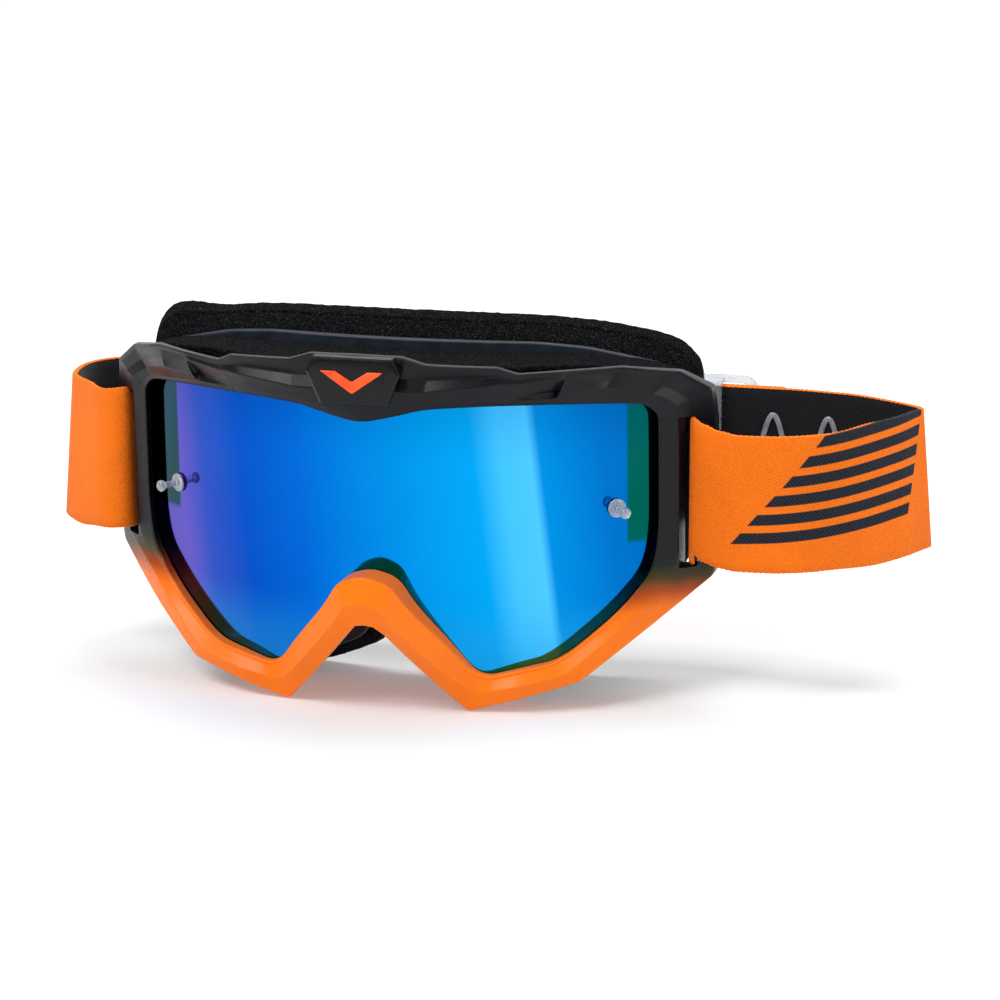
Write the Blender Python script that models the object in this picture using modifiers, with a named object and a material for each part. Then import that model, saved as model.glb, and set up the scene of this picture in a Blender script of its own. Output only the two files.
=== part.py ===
"""Motorcycle goggles: a moulded frame, a swept lens, face foam and an elastic strap.

Metres, +Z up. The wearer faces -Y, so the lens is at the front, towards -Y.
X = 0 is the plane that the frame mirrors in, until everything is moved at the end,
so that the origin is at the bottom centre of the whole object's box.
"""

import math

import bmesh
import bpy
from mathutils import Matrix, Vector

MM = 0.001

# Overall sizes of the front frame
FRAME_HALF_WIDTH = 89 * MM
FRAME_HEIGHT = 104.5 * MM
SWEEP_DEPTH = 45 * MM  # how far the frame sweeps back from its centre to its sides
SWEEP_POWER = 2.0
LEAN = 0.05  # how far the lens comes forward for each unit of height
STATION_GAP = 7.5 * MM  # longest distance between two stations round a ring
TOUCH_GAP = 0.3 * MM  # left between two pieces that touch

# Lens and its groove, measured outwards from the edge of the aperture
LENS_THICKNESS = 1.2 * MM
LENS_LAP = 2.0 * MM
GROOVE_DEPTH = LENS_LAP + 0.4 * MM
GROOVE_LIP_EDGE = 0.5 * MM
GROOVE_LIP = 1.6 * MM
RIDGE_SHARE = 0.45
RIDGE_HEIGHT = 1.2 * MM
WALL_THICKNESS = 1.8 * MM
WALL_OUTSIDE = GROOVE_DEPTH + WALL_THICKNESS
SLAB_BACK = 3.2 * MM

# Strap slots
BAR_WIDTH = 4 * MM
SLOT_WIDTH = 4.4 * MM
STRAP_WIDTH = 41 * MM
STRAP_MIDDLE = 0.574 * FRAME_HEIGHT
LEAN_HEIGHT = STRAP_MIDDLE - 10 * MM  # where the leaning lens is at its nominal depth
STRAP_BOTTOM = STRAP_MIDDLE - STRAP_WIDTH / 2
STRAP_THICKNESS = 1.6 * MM
SLOT_END_CLEARANCE = 1.5 * MM
SIDE_BELOW_STRAP = 4.8 * MM  # how far the frame's side edge runs past the strap
SIDE_ABOVE_STRAP = 8.5 * MM
SIDE_LOW = (STRAP_BOTTOM - SIDE_BELOW_STRAP) / FRAME_HEIGHT
SIDE_HIGH = (STRAP_BOTTOM + STRAP_WIDTH + SIDE_ABOVE_STRAP) / FRAME_HEIGHT

# Vents
WINDOW_LENGTH = 13 * MM
WINDOW_DEPTH = 11 * MM
VENT_FOAM_HEIGHT = 5 * MM
LOWER_VENT_FOAM_HEIGHT = 3 * MM

# Face flange and foam
CENTRE_DEPTH = 29 * MM  # lens to flange at the middle
SIDE_DEPTH = 3.5 * MM  # lens to flange at the sides
FLANGE_BAND = 13 * MM
FLANGE_THICKNESS = 1.8 * MM
BASE_FOAM = 6 * MM
COMFORT_FOAM = 7 * MM
FLEECE = 1.2 * MM
FOAM_FLARE_UP = 4.0 * MM
FOAM_FLARE_OUT = 1.2 * MM

# Brow badge
BADGE_WIDTH = 26 * MM
BADGE_HEIGHT = 14 * MM
BADGE_THICKNESS = 1.6 * MM
BADGE_TILT = math.radians(5)  # its top leans forward, as the brow does
BADGE_TOP_DROP = 0.3 * MM
EMBLEM_WIDTH = 16 * MM
EMBLEM_HEIGHT = 6 * MM
EMBLEM_THICKNESS = 0.6 * MM

# Tear-off posts
POST_INSET = 11 * MM  # inwards from the aperture's side edge
POST_Z = 0.5435 * FRAME_HEIGHT
POST_SHAFT_RADIUS = 1.0 * MM
POST_FLANGE_RADIUS = 2.7 * MM
POST_FLANGE_THICKNESS = 0.8 * MM
POST_KNOB_RADIUS = 1.65 * MM
POST_KNOB_LENGTH = 1.8 * MM
POST_LENGTH = 7.5 * MM
RETAINER_RADIUS = 2.4 * MM
RETAINER_THICKNESS = 1.2 * MM

# Strap and adjusters
REAR_CLEARANCE = 22.5 * MM  # from the fleece at the sides to the rear run of the strap
REAR_STRAP_END = FRAME_HALF_WIDTH + 11 * MM
DOUBLED_LENGTH = 65 * MM  # how far a side strap lies on the rear strap
SIDE_STRAP_END = REAR_STRAP_END - DOUBLED_LENGTH
ADJUSTER_X = FRAME_HALF_WIDTH - 9 * MM
ADJUSTER_WIDTH = 24 * MM
ADJUSTER_HEIGHT = STRAP_WIDTH + 5 * MM
ADJUSTER_CORNER = 5 * MM
ADJUSTER_RIM = 3 * MM
ADJUSTER_THICKNESS = 2.2 * MM
CENTRE_BAR_WIDTH = 4 * MM
CENTRE_BAR_THICKNESS = 2 * MM
CENTRE_BAR_GAP = 0.5 * MM
GRIP_RADIUS = 0.4 * MM
GRIP_SWING = 13 * MM
GRIP_WAVELENGTH = 17 * MM
GRIP_END = 52 * MM  # outwards from the bar, where the bead stops
GRIP_FOLD_SHARE = 0.83  # the bead stays behind this share of the way to the rear run

# Rim stations from the brow's middle round to the nose's middle. Shares of the half width
# and the height for the aperture's edge and the outer edge; then, in millimetres, how far
# each of the two stands ahead of the lens and how thick the outer edge is.
RIM = [
    (0.000, 0.809, 0.000, 1.000, 10.2, 13.3, 2.5),
    (0.112, 0.830, 0.146, 0.998, 9.8, 13.7, 2.5),
    (0.200, 0.850, 0.220, 0.978, 9.6, 13.9, 2.5),
    (0.360, 0.856, 0.427, 0.971, 9.3, 15.2, 2.5),
    (0.430, 0.856, 0.483, 0.943, 9.0, 14.0, 2.5),
    (0.560, 0.853, 0.618, 0.952, 8.3, 11.8, 2.5),
    (0.697, 0.845, 0.753, 0.943, 7.1, 8.0, 3.0),
    (0.809, 0.833, 0.905, 0.909, 5.3, 3.9, 4.5),
    (0.848, 0.800, 0.989, SIDE_HIGH, 4.5, 3.1, 6.0),
    (0.848, 0.740, 1.000, SIDE_HIGH - 0.1, 4.3, 3.2, 6.0),
    (0.848, 0.385, 1.000, SIDE_LOW, 4.3, 3.2, 6.0),
    (0.740, 0.260, 0.820, 0.207, 4.8, 6.5, 6.0),
    (0.570, 0.135, 0.639, 0.082, 4.9, 8.2, 6.0),
    (0.460, 0.117, 0.450, 0.037, 4.1, 5.6, 5.0),
    (0.335, 0.094, 0.2955, 0.000, 2.2, 1.6, 4.0),
    (0.245, 0.193, 0.165, 0.120, 5.3, 5.0, 5.0),
    (0.140, 0.295, 0.060, 0.225, 8.3, 8.5, 6.0),
    (0.085, 0.370, 0.030, 0.250, 10.1, 10.2, 6.0),
    (0.000, 0.392, 0.000, 0.254, 10.6, 10.4, 6.0),
]

# Outer edge of the face flange at the same stations, as shares of half width and height
FACE = [
    (0.000, 0.986),
    (0.146, 0.986),
    (0.220, 0.986),
    (0.427, 0.984),
    (0.483, 0.981),
    (0.607, 0.971),
    (0.730, 0.947),
    (0.831, 0.923),
    (0.896, 0.872),
    (0.906, 0.772),
    (0.893, 0.383),
    (0.775, 0.230),
    (0.618, 0.091),
    (0.472, 0.033),
    (0.348, 0.033),
    (0.219, 0.067),
    (0.118, 0.105),
    (0.076, 0.163),
    (0.000, 0.215),
]
TOP_VENT_END = 7  # the rim station where the upper vent foam stops
LOWER_VENT_STATIONS = (11, 13)
TOP_WINDOW_X = (10 * MM, 28 * MM, 46 * MM)
LOWER_WINDOW_STATIONS = (11, 12)

# The strap's end, round the back of the slot's bar and out to where it lies inside the
# strap, and then back through the slot. Millimetres outwards and backwards from the bar.
LOOP = [(4.6, 12.6), (1.5, 12.0), (-1.0, 9.9), (-1.8, 7.4), (-1.8, 2.4), (-0.8, -3.6)]
RIGHT_TAIL = [(24.0, -3.2), (18.0, -3.6), (13.0, -0.6), (9.5, 5.4), (7.0, 10.4)]
LEFT_TAIL = [(18.0, 15.6), (15.4, 11.6), (13.0, 8.4), (11.0, 6.4), (9.0, 7.6), (7.2, 11.2)]

# The strap from the bar to its rear run: millimetres outwards from the bar, and the share
# of the way back from the bar to the rear run
RIGHT_ROUTE = [
    (3.0, -0.120),
    (8.0, -0.131),
    (13.0, -0.138),
    (24.0, -0.121),
    (34.4, -0.017),
    (44.0, 0.187),
    (53.0, 0.483),
    (57.4, 0.698),
    (58.6, 0.770),
    (57.0, 0.830),
    (52.0, 0.871),
    (44.0, 0.905),
    (32.0, 0.953),
    (23.0, 0.987),
    (17.0, 1.000),
    (8.0, 1.000),
]
LEFT_ROUTE = [
    (3.0, -0.105),
    (7.6, -0.065),
    (13.0, 0.050),
    (18.5, 0.170),
    (22.8, 0.300),
    (24.9, 0.500),
    (24.8, 0.660),
    (23.0, 0.790),
    (19.3, 0.900),
    (13.5, 0.970),
    (6.0, 1.000),
]

COLOURS = {
    "black_shell": ((0.02, 0.02, 0.022), 0.45, 0.0),
    "orange_plastic": ((0.9, 0.22, 0.01), 0.4, 0.0),
    "blue_mirror": ((0.0, 0.2, 0.75), 0.08, 0.8),
    "clear_plastic": ((0.85, 0.9, 0.92), 0.1, 0.0),
    "black_foam": ((0.012, 0.012, 0.013), 0.95, 0.0),
    "black_fleece": ((0.02, 0.02, 0.02), 1.0, 0.0),
    "orange_elastic": ((0.95, 0.25, 0.01), 0.8, 0.0),
    "silicone": ((0.2, 0.2, 0.21), 0.3, 0.0),
}


def material(name):
    found = bpy.data.materials.get(name)
    if found:
        return found
    colour, roughness, metallic = COLOURS[name]
    made = bpy.data.materials.new(name)
    made.use_nodes = True
    shader = made.node_tree.nodes["Principled BSDF"]
    shader.inputs["Base Color"].default_value = (*colour, 1.0)
    shader.inputs["Roughness"].default_value = roughness
    shader.inputs["Metallic"].default_value = metallic
    return made


def collection(name):
    made = bpy.data.collections.new(name)
    bpy.context.scene.collection.children.link(made)
    return made


def put(name, data, finish, group):
    """Links a new object with its material to a collection."""
    obj = bpy.data.objects.new(name, data)
    if finish:
        data.materials.append(material(finish))
    group.objects.link(obj)
    return obj


def mix(a, b, share):
    return a + (b - a) * share


def sweep(x):
    """How far back the lens is at x, at its nominal height."""
    return SWEEP_DEPTH * abs(x / FRAME_HALF_WIDTH) ** SWEEP_POWER


def sweep_slope(x):
    slope = SWEEP_POWER * SWEEP_DEPTH / FRAME_HALF_WIDTH
    return math.copysign(slope * abs(x / FRAME_HALF_WIDTH) ** (SWEEP_POWER - 1), x)


def lens_y(x, z):
    return sweep(x) + LEAN * (LEAN_HEIGHT - z)


def face_y(x):
    """The front of the face flange at x."""
    share = (x / FRAME_HALF_WIDTH) ** 2
    return sweep(x) + mix(CENTRE_DEPTH, SIDE_DEPTH, share)


class Station:
    """One place round the frame: a spoke from the aperture's edge to the outer edge."""

    def __init__(self, rim, face):
        self.edge = Vector((rim[0] * FRAME_HALF_WIDTH, rim[1] * FRAME_HEIGHT))
        outer = Vector((rim[2] * FRAME_HALF_WIDTH, rim[3] * FRAME_HEIGHT))
        self.width = (outer - self.edge).length
        self.spoke = (outer - self.edge).normalized()
        self.proud_inside = rim[4] * MM
        self.proud_outside = rim[5] * MM
        self.edge_thickness = rim[6] * MM
        self.face = Vector((face[0] * FRAME_HALF_WIDTH, face[1] * FRAME_HEIGHT))

    def ahead(self, out, back):
        """The point this far out along the spoke and this far behind the lens's front."""
        spot = self.edge + self.spoke * out
        return Vector((spot.x, lens_y(spot.x, spot.y) + back, spot.y))

    def behind(self, out, depth):
        """The point this far out along the spoke and this deep, square to the lens."""
        slope = sweep_slope((self.edge + self.spoke * out).x)
        return self.ahead(out, depth * math.hypot(1, slope))

    def before_flange(self, out, gap):
        """The point this far out along the spoke and this far ahead of the flange."""
        spot = self.edge + self.spoke * out
        return Vector((spot.x, face_y(spot.x) - gap, spot.y))

    def on_face(self, inwards, back, flare=0.0):
        """The point on the face ring this far in from its edge and behind the flange."""
        spot = self.face - self.spoke * inwards
        spot.x += self.spoke.x * FOAM_FLARE_OUT * flare
        spot.y += self.spoke.y * FOAM_FLARE_UP * flare
        return Vector((spot.x, face_y(spot.x) + back, max(spot.y, 0.0)))


def stations(first=0, last=len(RIM) - 1):
    """Stations between two corners of the rim, none further apart than the station gap."""
    made = []
    for index in range(first, last):
        here, there = RIM[index], RIM[index + 1]
        run = (Station(there, FACE[index + 1]).edge - Station(here, FACE[index]).edge).length
        steps = max(1, math.ceil(run / STATION_GAP))
        for step in range(steps):
            share = step / steps
            rim = [mix(a, b, share) for a, b in zip(here, there)]
            face = [mix(a, b, share) for a, b in zip(FACE[index], FACE[index + 1])]
            made.append(Station(rim, face))
    made.append(Station(RIM[last], FACE[last]))
    return made


def loft(name, rings, open_start=False, open_end=False):
    """A mesh through rings of points, capped at the ends that aren't left open."""
    bm = bmesh.new()
    rows = [[bm.verts.new(point) for point in ring] for ring in rings]
    for row, following in zip(rows, rows[1:]):
        for index in range(len(row)):
            after = (index + 1) % len(row)
            bm.faces.new((row[index], row[after], following[after], following[index]))
    if not open_start:
        bm.faces.new(rows[0])
    if not open_end:
        bm.faces.new(rows[-1])
    bmesh.ops.recalc_face_normals(bm, faces=bm.faces)
    mesh = bpy.data.meshes.new(name)
    bm.to_mesh(mesh)
    bm.free()
    return mesh


def add_mirror(obj):
    mirror = obj.modifiers.new("mirror", "MIRROR")
    mirror.merge_threshold = 0.0001
    return mirror


def mirrored_ring(name, rings, finish, group):
    """A ring from its half: the half is open where it meets the mirror plane."""
    obj = put(name, loft(name, rings, open_start=True, open_end=True), finish, group)
    add_mirror(obj)
    return obj


def cut(obj, cutter):
    boolean = obj.modifiers.new("cut", "BOOLEAN")
    boolean.operation = "DIFFERENCE"
    boolean.object = cutter


def box(name, size, group, finish=None):
    """A box with its origin at its centre."""
    bm = bmesh.new()
    bmesh.ops.create_cube(bm, size=1.0)
    bmesh.ops.scale(bm, vec=Vector(size), verts=bm.verts)
    mesh = bpy.data.meshes.new(name)
    bm.to_mesh(mesh)
    bm.free()
    return put(name, mesh, finish, group)


def as_cutter(obj):
    obj.hide_render = True
    obj.display_type = "WIRE"
    return obj


def frame_section(station):
    """The frame's section at a station, from the aperture's front edge outwards."""
    at = station.ahead
    width = station.width
    proud = mix(station.proud_inside, station.proud_outside, RIDGE_SHARE)
    groove_back = LENS_THICKNESS + TOUCH_GAP
    return [
        at(0, -station.proud_inside),
        at(width * RIDGE_SHARE, -proud - RIDGE_HEIGHT),
        at(width, -station.proud_outside),
        at(width, station.edge_thickness - station.proud_outside),
        at(WALL_OUTSIDE, SLAB_BACK),
        station.before_flange(WALL_OUTSIDE, TOUCH_GAP),
        station.before_flange(GROOVE_DEPTH, TOUCH_GAP),
        station.behind(GROOVE_DEPTH, groove_back + 2 * GROOVE_LIP),
        station.behind(GROOVE_LIP_EDGE, groove_back + GROOVE_LIP),
        station.behind(GROOVE_LIP_EDGE, groove_back),
        station.behind(GROOVE_DEPTH, groove_back),
        station.behind(GROOVE_DEPTH, -TOUCH_GAP),
        station.behind(0, -TOUCH_GAP),
    ]


def window_cutter(name, station, group):
    """A cutter through the frame's wall at a station, behind the lens's groove."""
    cutter = box(name, (WINDOW_LENGTH, WINDOW_DEPTH, 4 * WALL_OUTSIDE), group)
    inside = station.ahead(WALL_OUTSIDE / 2, SLAB_BACK + GROOVE_LIP)
    behind = station.before_flange(WALL_OUTSIDE / 2, GROOVE_LIP)
    cutter.location = (inside + behind) / 2
    cutter.rotation_euler.y = math.atan2(station.spoke.x, station.spoke.y)
    return as_cutter(cutter)


def mirrored_copy(cutter, group):
    """The same cutter on the other side of the mirror plane."""
    copy = put(cutter.name + "_left", cutter.data, None, group)
    x, y, z = cutter.location
    copy.location = (-x, y, z)
    copy.rotation_euler.y = -cutter.rotation_euler.y
    return as_cutter(copy)


def station_at_x(x):
    """The station of the brow nearest to x."""
    return min(stations(0, TOP_VENT_END), key=lambda station: abs(station.edge.x - x))


def front_frame(group, cutters):
    rings = [frame_section(station) for station in stations()]
    frame = mirrored_ring("front_frame", rings, "black_shell", group)
    x = FRAME_HALF_WIDTH - BAR_WIDTH - SLOT_WIDTH / 2
    height = STRAP_WIDTH + 2 * SLOT_END_CLEARANCE
    openings = []
    slot = as_cutter(box("strap_slot", (SLOT_WIDTH, SWEEP_DEPTH, height), cutters))
    slot.location = (x, sweep(x), STRAP_MIDDLE)
    openings.append(slot)
    for index, window_x in enumerate(TOP_WINDOW_X):
        openings.append(window_cutter(f"top_window_{index}", station_at_x(window_x), cutters))
    for index in LOWER_WINDOW_STATIONS:
        middle = stations(index, index + 1)
        station = middle[len(middle) // 2]
        openings.append(window_cutter(f"lower_window_{index}", station, cutters))
    for opening in openings:
        cut(frame, opening)
        cut(frame, mirrored_copy(opening, cutters))
    return frame


def face_flange(group):
    rings = []
    for station in stations():
        rings.append(
            [
                station.on_face(FLANGE_BAND, 0),
                station.on_face(0, 0),
                station.on_face(0, FLANGE_THICKNESS),
                station.on_face(FLANGE_BAND, FLANGE_THICKNESS),
            ]
        )
    return mirrored_ring("face_flange", rings, "black_shell", group)


def face_foam(name, start, thickness, flares, finish, group):
    """A ring of foam behind the flange; flares are its shares of the full flare."""
    rings = []
    for station in stations():
        rings.append(
            [
                station.on_face(FLANGE_BAND, start),
                station.on_face(0, start, flares[0]),
                station.on_face(0, start + thickness, flares[1]),
                station.on_face(FLANGE_BAND, start + thickness),
            ]
        )
    return mirrored_ring(name, rings, finish, group)


def vent_section(station, height):
    inside = WALL_OUTSIDE + TOUCH_GAP
    front = SLAB_BACK + TOUCH_GAP
    return [
        station.ahead(inside, front),
        station.ahead(inside + height, front),
        station.before_flange(inside + height, TOUCH_GAP),
        station.before_flange(inside, TOUCH_GAP),
    ]


def vent_foam_top(group):
    rings = [vent_section(s, VENT_FOAM_HEIGHT) for s in stations(0, TOP_VENT_END)]
    mesh = loft("vent_foam_top", rings, open_start=True)
    strip = put("vent_foam_top", mesh, "black_foam", group)
    add_mirror(strip)
    return strip


def vent_foam_lower(side, name, group):
    chosen = stations(*LOWER_VENT_STATIONS)
    rings = [vent_section(s, LOWER_VENT_FOAM_HEIGHT) for s in chosen]
    flip = Matrix.Diagonal((side, 1, 1))
    rings = [[flip @ point for point in ring] for ring in rings]
    return put(name, loft(name, rings), "black_foam", group)


def boundary_height(points, x):
    """The height of a boundary, given as (x, z) points in order of x."""
    for (x0, z0), (x1, z1) in zip(points, points[1:]):
        if x0 <= x <= x1:
            return mix(z0, z1, (x - x0) / (x1 - x0))
    return points[-1][1]


def lens_edge():
    """The lens's upper and lower edges for x >= 0, as (x, z) points in order of x."""
    points = []
    for station in stations():
        spot = station.edge + station.spoke * LENS_LAP
        points.append((spot.x, spot.y))
    side = max(range(len(points)), key=lambda index: points[index][0])
    reach = points[side][0] - TOUCH_GAP
    upper = [point for point in points[:side] if point[0] < reach]
    lower = [point for point in reversed(points[side:]) if point[0] < reach]
    return upper, lower


def lens(group):
    """A sheet of columns between the lower and the upper edge, thickened backwards."""
    upper, lower = lens_edge()
    limit = min(upper[-1][0], lower[-1][0])
    columns = []
    for x in sorted(point[0] for point in upper + lower):
        if x <= limit and (not columns or x - columns[-1] > TOUCH_GAP):
            columns.append(x)
    bm = bmesh.new()
    rows = []
    for x in columns:
        low = boundary_height(lower, x)
        high = boundary_height(upper, x)
        middle = (low + high) / 2
        rows.append([bm.verts.new((x, lens_y(x, z), z)) for z in (low, middle, high)])
    for row, following in zip(rows, rows[1:]):
        for index in range(2):
            corners = (row[index], following[index], following[index + 1], row[index + 1])
            bm.faces.new(corners)
    mesh = bpy.data.meshes.new("lens")
    bm.to_mesh(mesh)
    bm.free()
    sheet = put("lens", mesh, "blue_mirror", group)
    add_mirror(sheet)
    thicken = sheet.modifiers.new("thickness", "SOLIDIFY")
    thicken.thickness = LENS_THICKNESS
    thicken.offset = -1
    return sheet


def post_x(side):
    """Where a tear-off post stands, measured in from the aperture's side edge."""
    widest = max(rim[0] for rim in RIM)
    return side * (widest * FRAME_HALF_WIDTH - POST_INSET)


def lens_normal(x):
    """The direction straight out of the front of the lens at x."""
    return Vector((sweep_slope(x), -1, -LEAN)).normalized()


def turned(name, profile, finish, group):
    """A piece turned about Z from (radius, height) points, top to bottom."""
    bm = bmesh.new()
    verts = [bm.verts.new((radius, 0, height)) for radius, height in profile]
    for first, second in zip(verts, verts[1:]):
        bm.edges.new((first, second))
    mesh = bpy.data.meshes.new(name)
    bm.to_mesh(mesh)
    bm.free()
    obj = put(name, mesh, finish, group)
    screw = obj.modifiers.new("turn", "SCREW")
    screw.steps = 16
    screw.render_steps = 16
    screw.use_merge_vertices = True
    screw.merge_threshold = 0.00001
    return obj


def along_lens_normal(obj, side, back):
    """Stands a turned piece on the lens at a post's place, this far behind its front."""
    x = post_x(side)
    normal = lens_normal(x)
    obj.rotation_mode = "QUATERNION"
    obj.rotation_quaternion = normal.to_track_quat("Z", "Y")
    obj.location = Vector((x, lens_y(x, POST_Z), POST_Z)) - normal * back


def tear_off_post(side, name, group):
    """A clear pin: knob, shaft, flange on the lens, and a stub through the lens."""
    top = POST_LENGTH
    flange = TOUCH_GAP + POST_FLANGE_THICKNESS
    stub = -LENS_THICKNESS - TOUCH_GAP - RETAINER_THICKNESS
    profile = [
        (0, top),
        (POST_KNOB_RADIUS, top),
        (POST_KNOB_RADIUS, top - POST_KNOB_LENGTH),
        (POST_SHAFT_RADIUS, top - POST_KNOB_LENGTH - POST_SHAFT_RADIUS),
        (POST_SHAFT_RADIUS, flange),
        (POST_FLANGE_RADIUS, flange),
        (POST_FLANGE_RADIUS, TOUCH_GAP),
        (POST_SHAFT_RADIUS, TOUCH_GAP),
        (POST_SHAFT_RADIUS, stub),
        (0, stub),
    ]
    post = turned(name, profile, "clear_plastic", group)
    along_lens_normal(post, side, 0)
    return post


def post_retainer(side, name, group):
    """A ring pushed onto the post's stub behind the lens."""
    hole = POST_SHAFT_RADIUS + TOUCH_GAP
    profile = [
        (hole, 0),
        (RETAINER_RADIUS, 0),
        (RETAINER_RADIUS, -RETAINER_THICKNESS),
        (hole, -RETAINER_THICKNESS),
        (hole, 0),
    ]
    ring = turned(name, profile, "clear_plastic", group)
    along_lens_normal(ring, side, LENS_THICKNESS + TOUCH_GAP)
    return ring


def post_hole(side, name, group):
    hole = POST_SHAFT_RADIUS + TOUCH_GAP
    bm = bmesh.new()
    bmesh.ops.create_cone(
        bm, cap_ends=True, segments=16, radius1=hole, radius2=hole, depth=8 * LENS_THICKNESS
    )
    mesh = bpy.data.meshes.new(name)
    bm.to_mesh(mesh)
    bm.free()
    cutter = as_cutter(put(name, mesh, None, group))
    along_lens_normal(cutter, side, 0)
    return cutter


def extruded(name, outlines, thickness, finish, group):
    """A flat mesh piece from closed outlines in its own XY plane; a second one is a hole."""
    curve = bpy.data.curves.new(name, "CURVE")
    curve.dimensions = "2D"
    curve.fill_mode = "BOTH"
    curve.extrude = thickness / 2
    for outline in outlines:
        spline = curve.splines.new("POLY")
        spline.points.add(len(outline) - 1)
        for point, (x, y) in zip(spline.points, outline):
            point.co = (x, y, 0, 1)
        spline.use_cyclic_u = True
    return as_mesh(put(name, curve, finish, group), group)


def as_mesh(obj, group):
    """Replaces a curve object by a mesh object with its caps welded."""
    depsgraph = bpy.context.evaluated_depsgraph_get()
    mesh = bpy.data.meshes.new_from_object(obj.evaluated_get(depsgraph))
    bm = bmesh.new()
    bm.from_mesh(mesh)
    bmesh.ops.remove_doubles(bm, verts=bm.verts, dist=0.00001)
    bmesh.ops.recalc_face_normals(bm, faces=bm.faces)
    bm.to_mesh(mesh)
    bm.free()
    name = obj.name
    placed = obj.matrix_world.copy()
    bpy.data.objects.remove(obj)
    made = bpy.data.objects.new(name, mesh)
    made.matrix_world = placed
    group.objects.link(made)
    return made


def badge_frame(ahead):
    """The badge's place: its top edge's middle, this far ahead of the brow, and its tilt."""
    top = FRAME_HEIGHT - BADGE_TOP_DROP
    front = lens_y(0, top) - RIM[0][5] * MM
    tilt = Matrix.Rotation(math.radians(90) + BADGE_TILT, 4, "X")
    place = Vector((0, front, top)) + (tilt @ Vector((0, 0, ahead, 1))).to_3d()
    return Matrix.Translation(place) @ tilt


def brow_badge(group):
    half = BADGE_WIDTH / 2
    outline = [
        (-0.85 * half, 0),
        (0.85 * half, 0),
        (half, -0.3 * BADGE_HEIGHT),
        (0.7 * half, -BADGE_HEIGHT),
        (-0.7 * half, -BADGE_HEIGHT),
        (-half, -0.3 * BADGE_HEIGHT),
    ]
    plate = extruded("brow_badge_plate", [outline], BADGE_THICKNESS, "black_shell", group)
    gap = 4 * TOUCH_GAP
    plate.matrix_world = badge_frame(gap + BADGE_THICKNESS / 2)
    half = EMBLEM_WIDTH / 2
    arm = EMBLEM_HEIGHT / 2
    top = -(BADGE_HEIGHT - EMBLEM_HEIGHT) / 2
    chevron = [
        (-half, top),
        (-half + arm, top),
        (0, top - EMBLEM_HEIGHT / 2),
        (half - arm, top),
        (half, top),
        (0, top - EMBLEM_HEIGHT),
    ]
    emblem = extruded("brow_badge_emblem", [chevron], EMBLEM_THICKNESS, "orange_plastic", group)
    ahead = gap + BADGE_THICKNESS + TOUCH_GAP / 3 + EMBLEM_THICKNESS / 2
    emblem.matrix_world = badge_frame(ahead)
    return plate, emblem


def bar_inner_x():
    return FRAME_HALF_WIDTH - BAR_WIDTH


def bar_front_y():
    return sweep(bar_inner_x()) - RIM[9][4] * MM


def rear_run_y():
    """The middle of a side strap's thickness where it runs straight behind the foam."""
    widest = FACE[9][0] * FRAME_HALF_WIDTH
    foam = FLANGE_THICKNESS + BASE_FOAM + COMFORT_FOAM + FLEECE + 3 * TOUCH_GAP
    return face_y(widest) + foam + REAR_CLEARANCE


def near_bar(points, side):
    return [
        Vector((side * (bar_inner_x() + out * MM), bar_front_y() + back * MM))
        for out, back in points
    ]


def to_rear(points, side):
    return [
        Vector((side * (bar_inner_x() + out * MM), mix(bar_front_y(), rear_run_y(), share)))
        for out, share in points
    ]


def smooth(points, steps=3):
    """Points on a Catmull-Rom curve through the given ones."""
    ends = [points[0] * 2 - points[1], *points, points[-1] * 2 - points[-2]]
    made = []
    for index in range(1, len(ends) - 2):
        a, b, c, d = ends[index - 1 : index + 3]
        for step in range(steps):
            t = step / steps
            made.append(
                0.5
                * (
                    2 * b
                    + (c - a) * t
                    + (2 * a - 5 * b + 4 * c - d) * t**2
                    + (3 * b - a - 3 * c + d) * t**3
                )
            )
    made.append(points[-1].copy())
    return made


def band(name, path, finish, group):
    """A strap of the full width along a path, as a sheet thickened to both sides."""
    bm = bmesh.new()
    bottom = [bm.verts.new((x, y, STRAP_BOTTOM)) for x, y in path]
    top = [bm.verts.new((x, y, STRAP_BOTTOM + STRAP_WIDTH)) for x, y in path]
    for index in range(len(path) - 1):
        bm.faces.new((bottom[index], bottom[index + 1], top[index + 1], top[index]))
    mesh = bpy.data.meshes.new(name)
    bm.to_mesh(mesh)
    bm.free()
    strap = put(name, mesh, finish, group)
    thicken = strap.modifiers.new("thickness", "SOLIDIFY")
    thicken.thickness = STRAP_THICKNESS
    thicken.offset = 0
    thicken.use_even_offset = True
    return strap


def side_strap_path(side, tail, route):
    curved = smooth(near_bar(tail + LOOP, side) + to_rear(route, side))
    return curved + [Vector((side * SIDE_STRAP_END, rear_run_y()))]


def straps(group):
    right = side_strap_path(1, RIGHT_TAIL, RIGHT_ROUTE)
    left = side_strap_path(-1, LEFT_TAIL, LEFT_ROUTE)
    rear = rear_run_y() + STRAP_THICKNESS + TOUCH_GAP
    across = [Vector((-REAR_STRAP_END, rear)), Vector((REAR_STRAP_END, rear))]
    return (
        band("strap_right", right, "orange_elastic", group),
        band("strap_left", left, "orange_elastic", group),
        band("strap_rear", across, "orange_elastic", group),
    )


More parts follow.
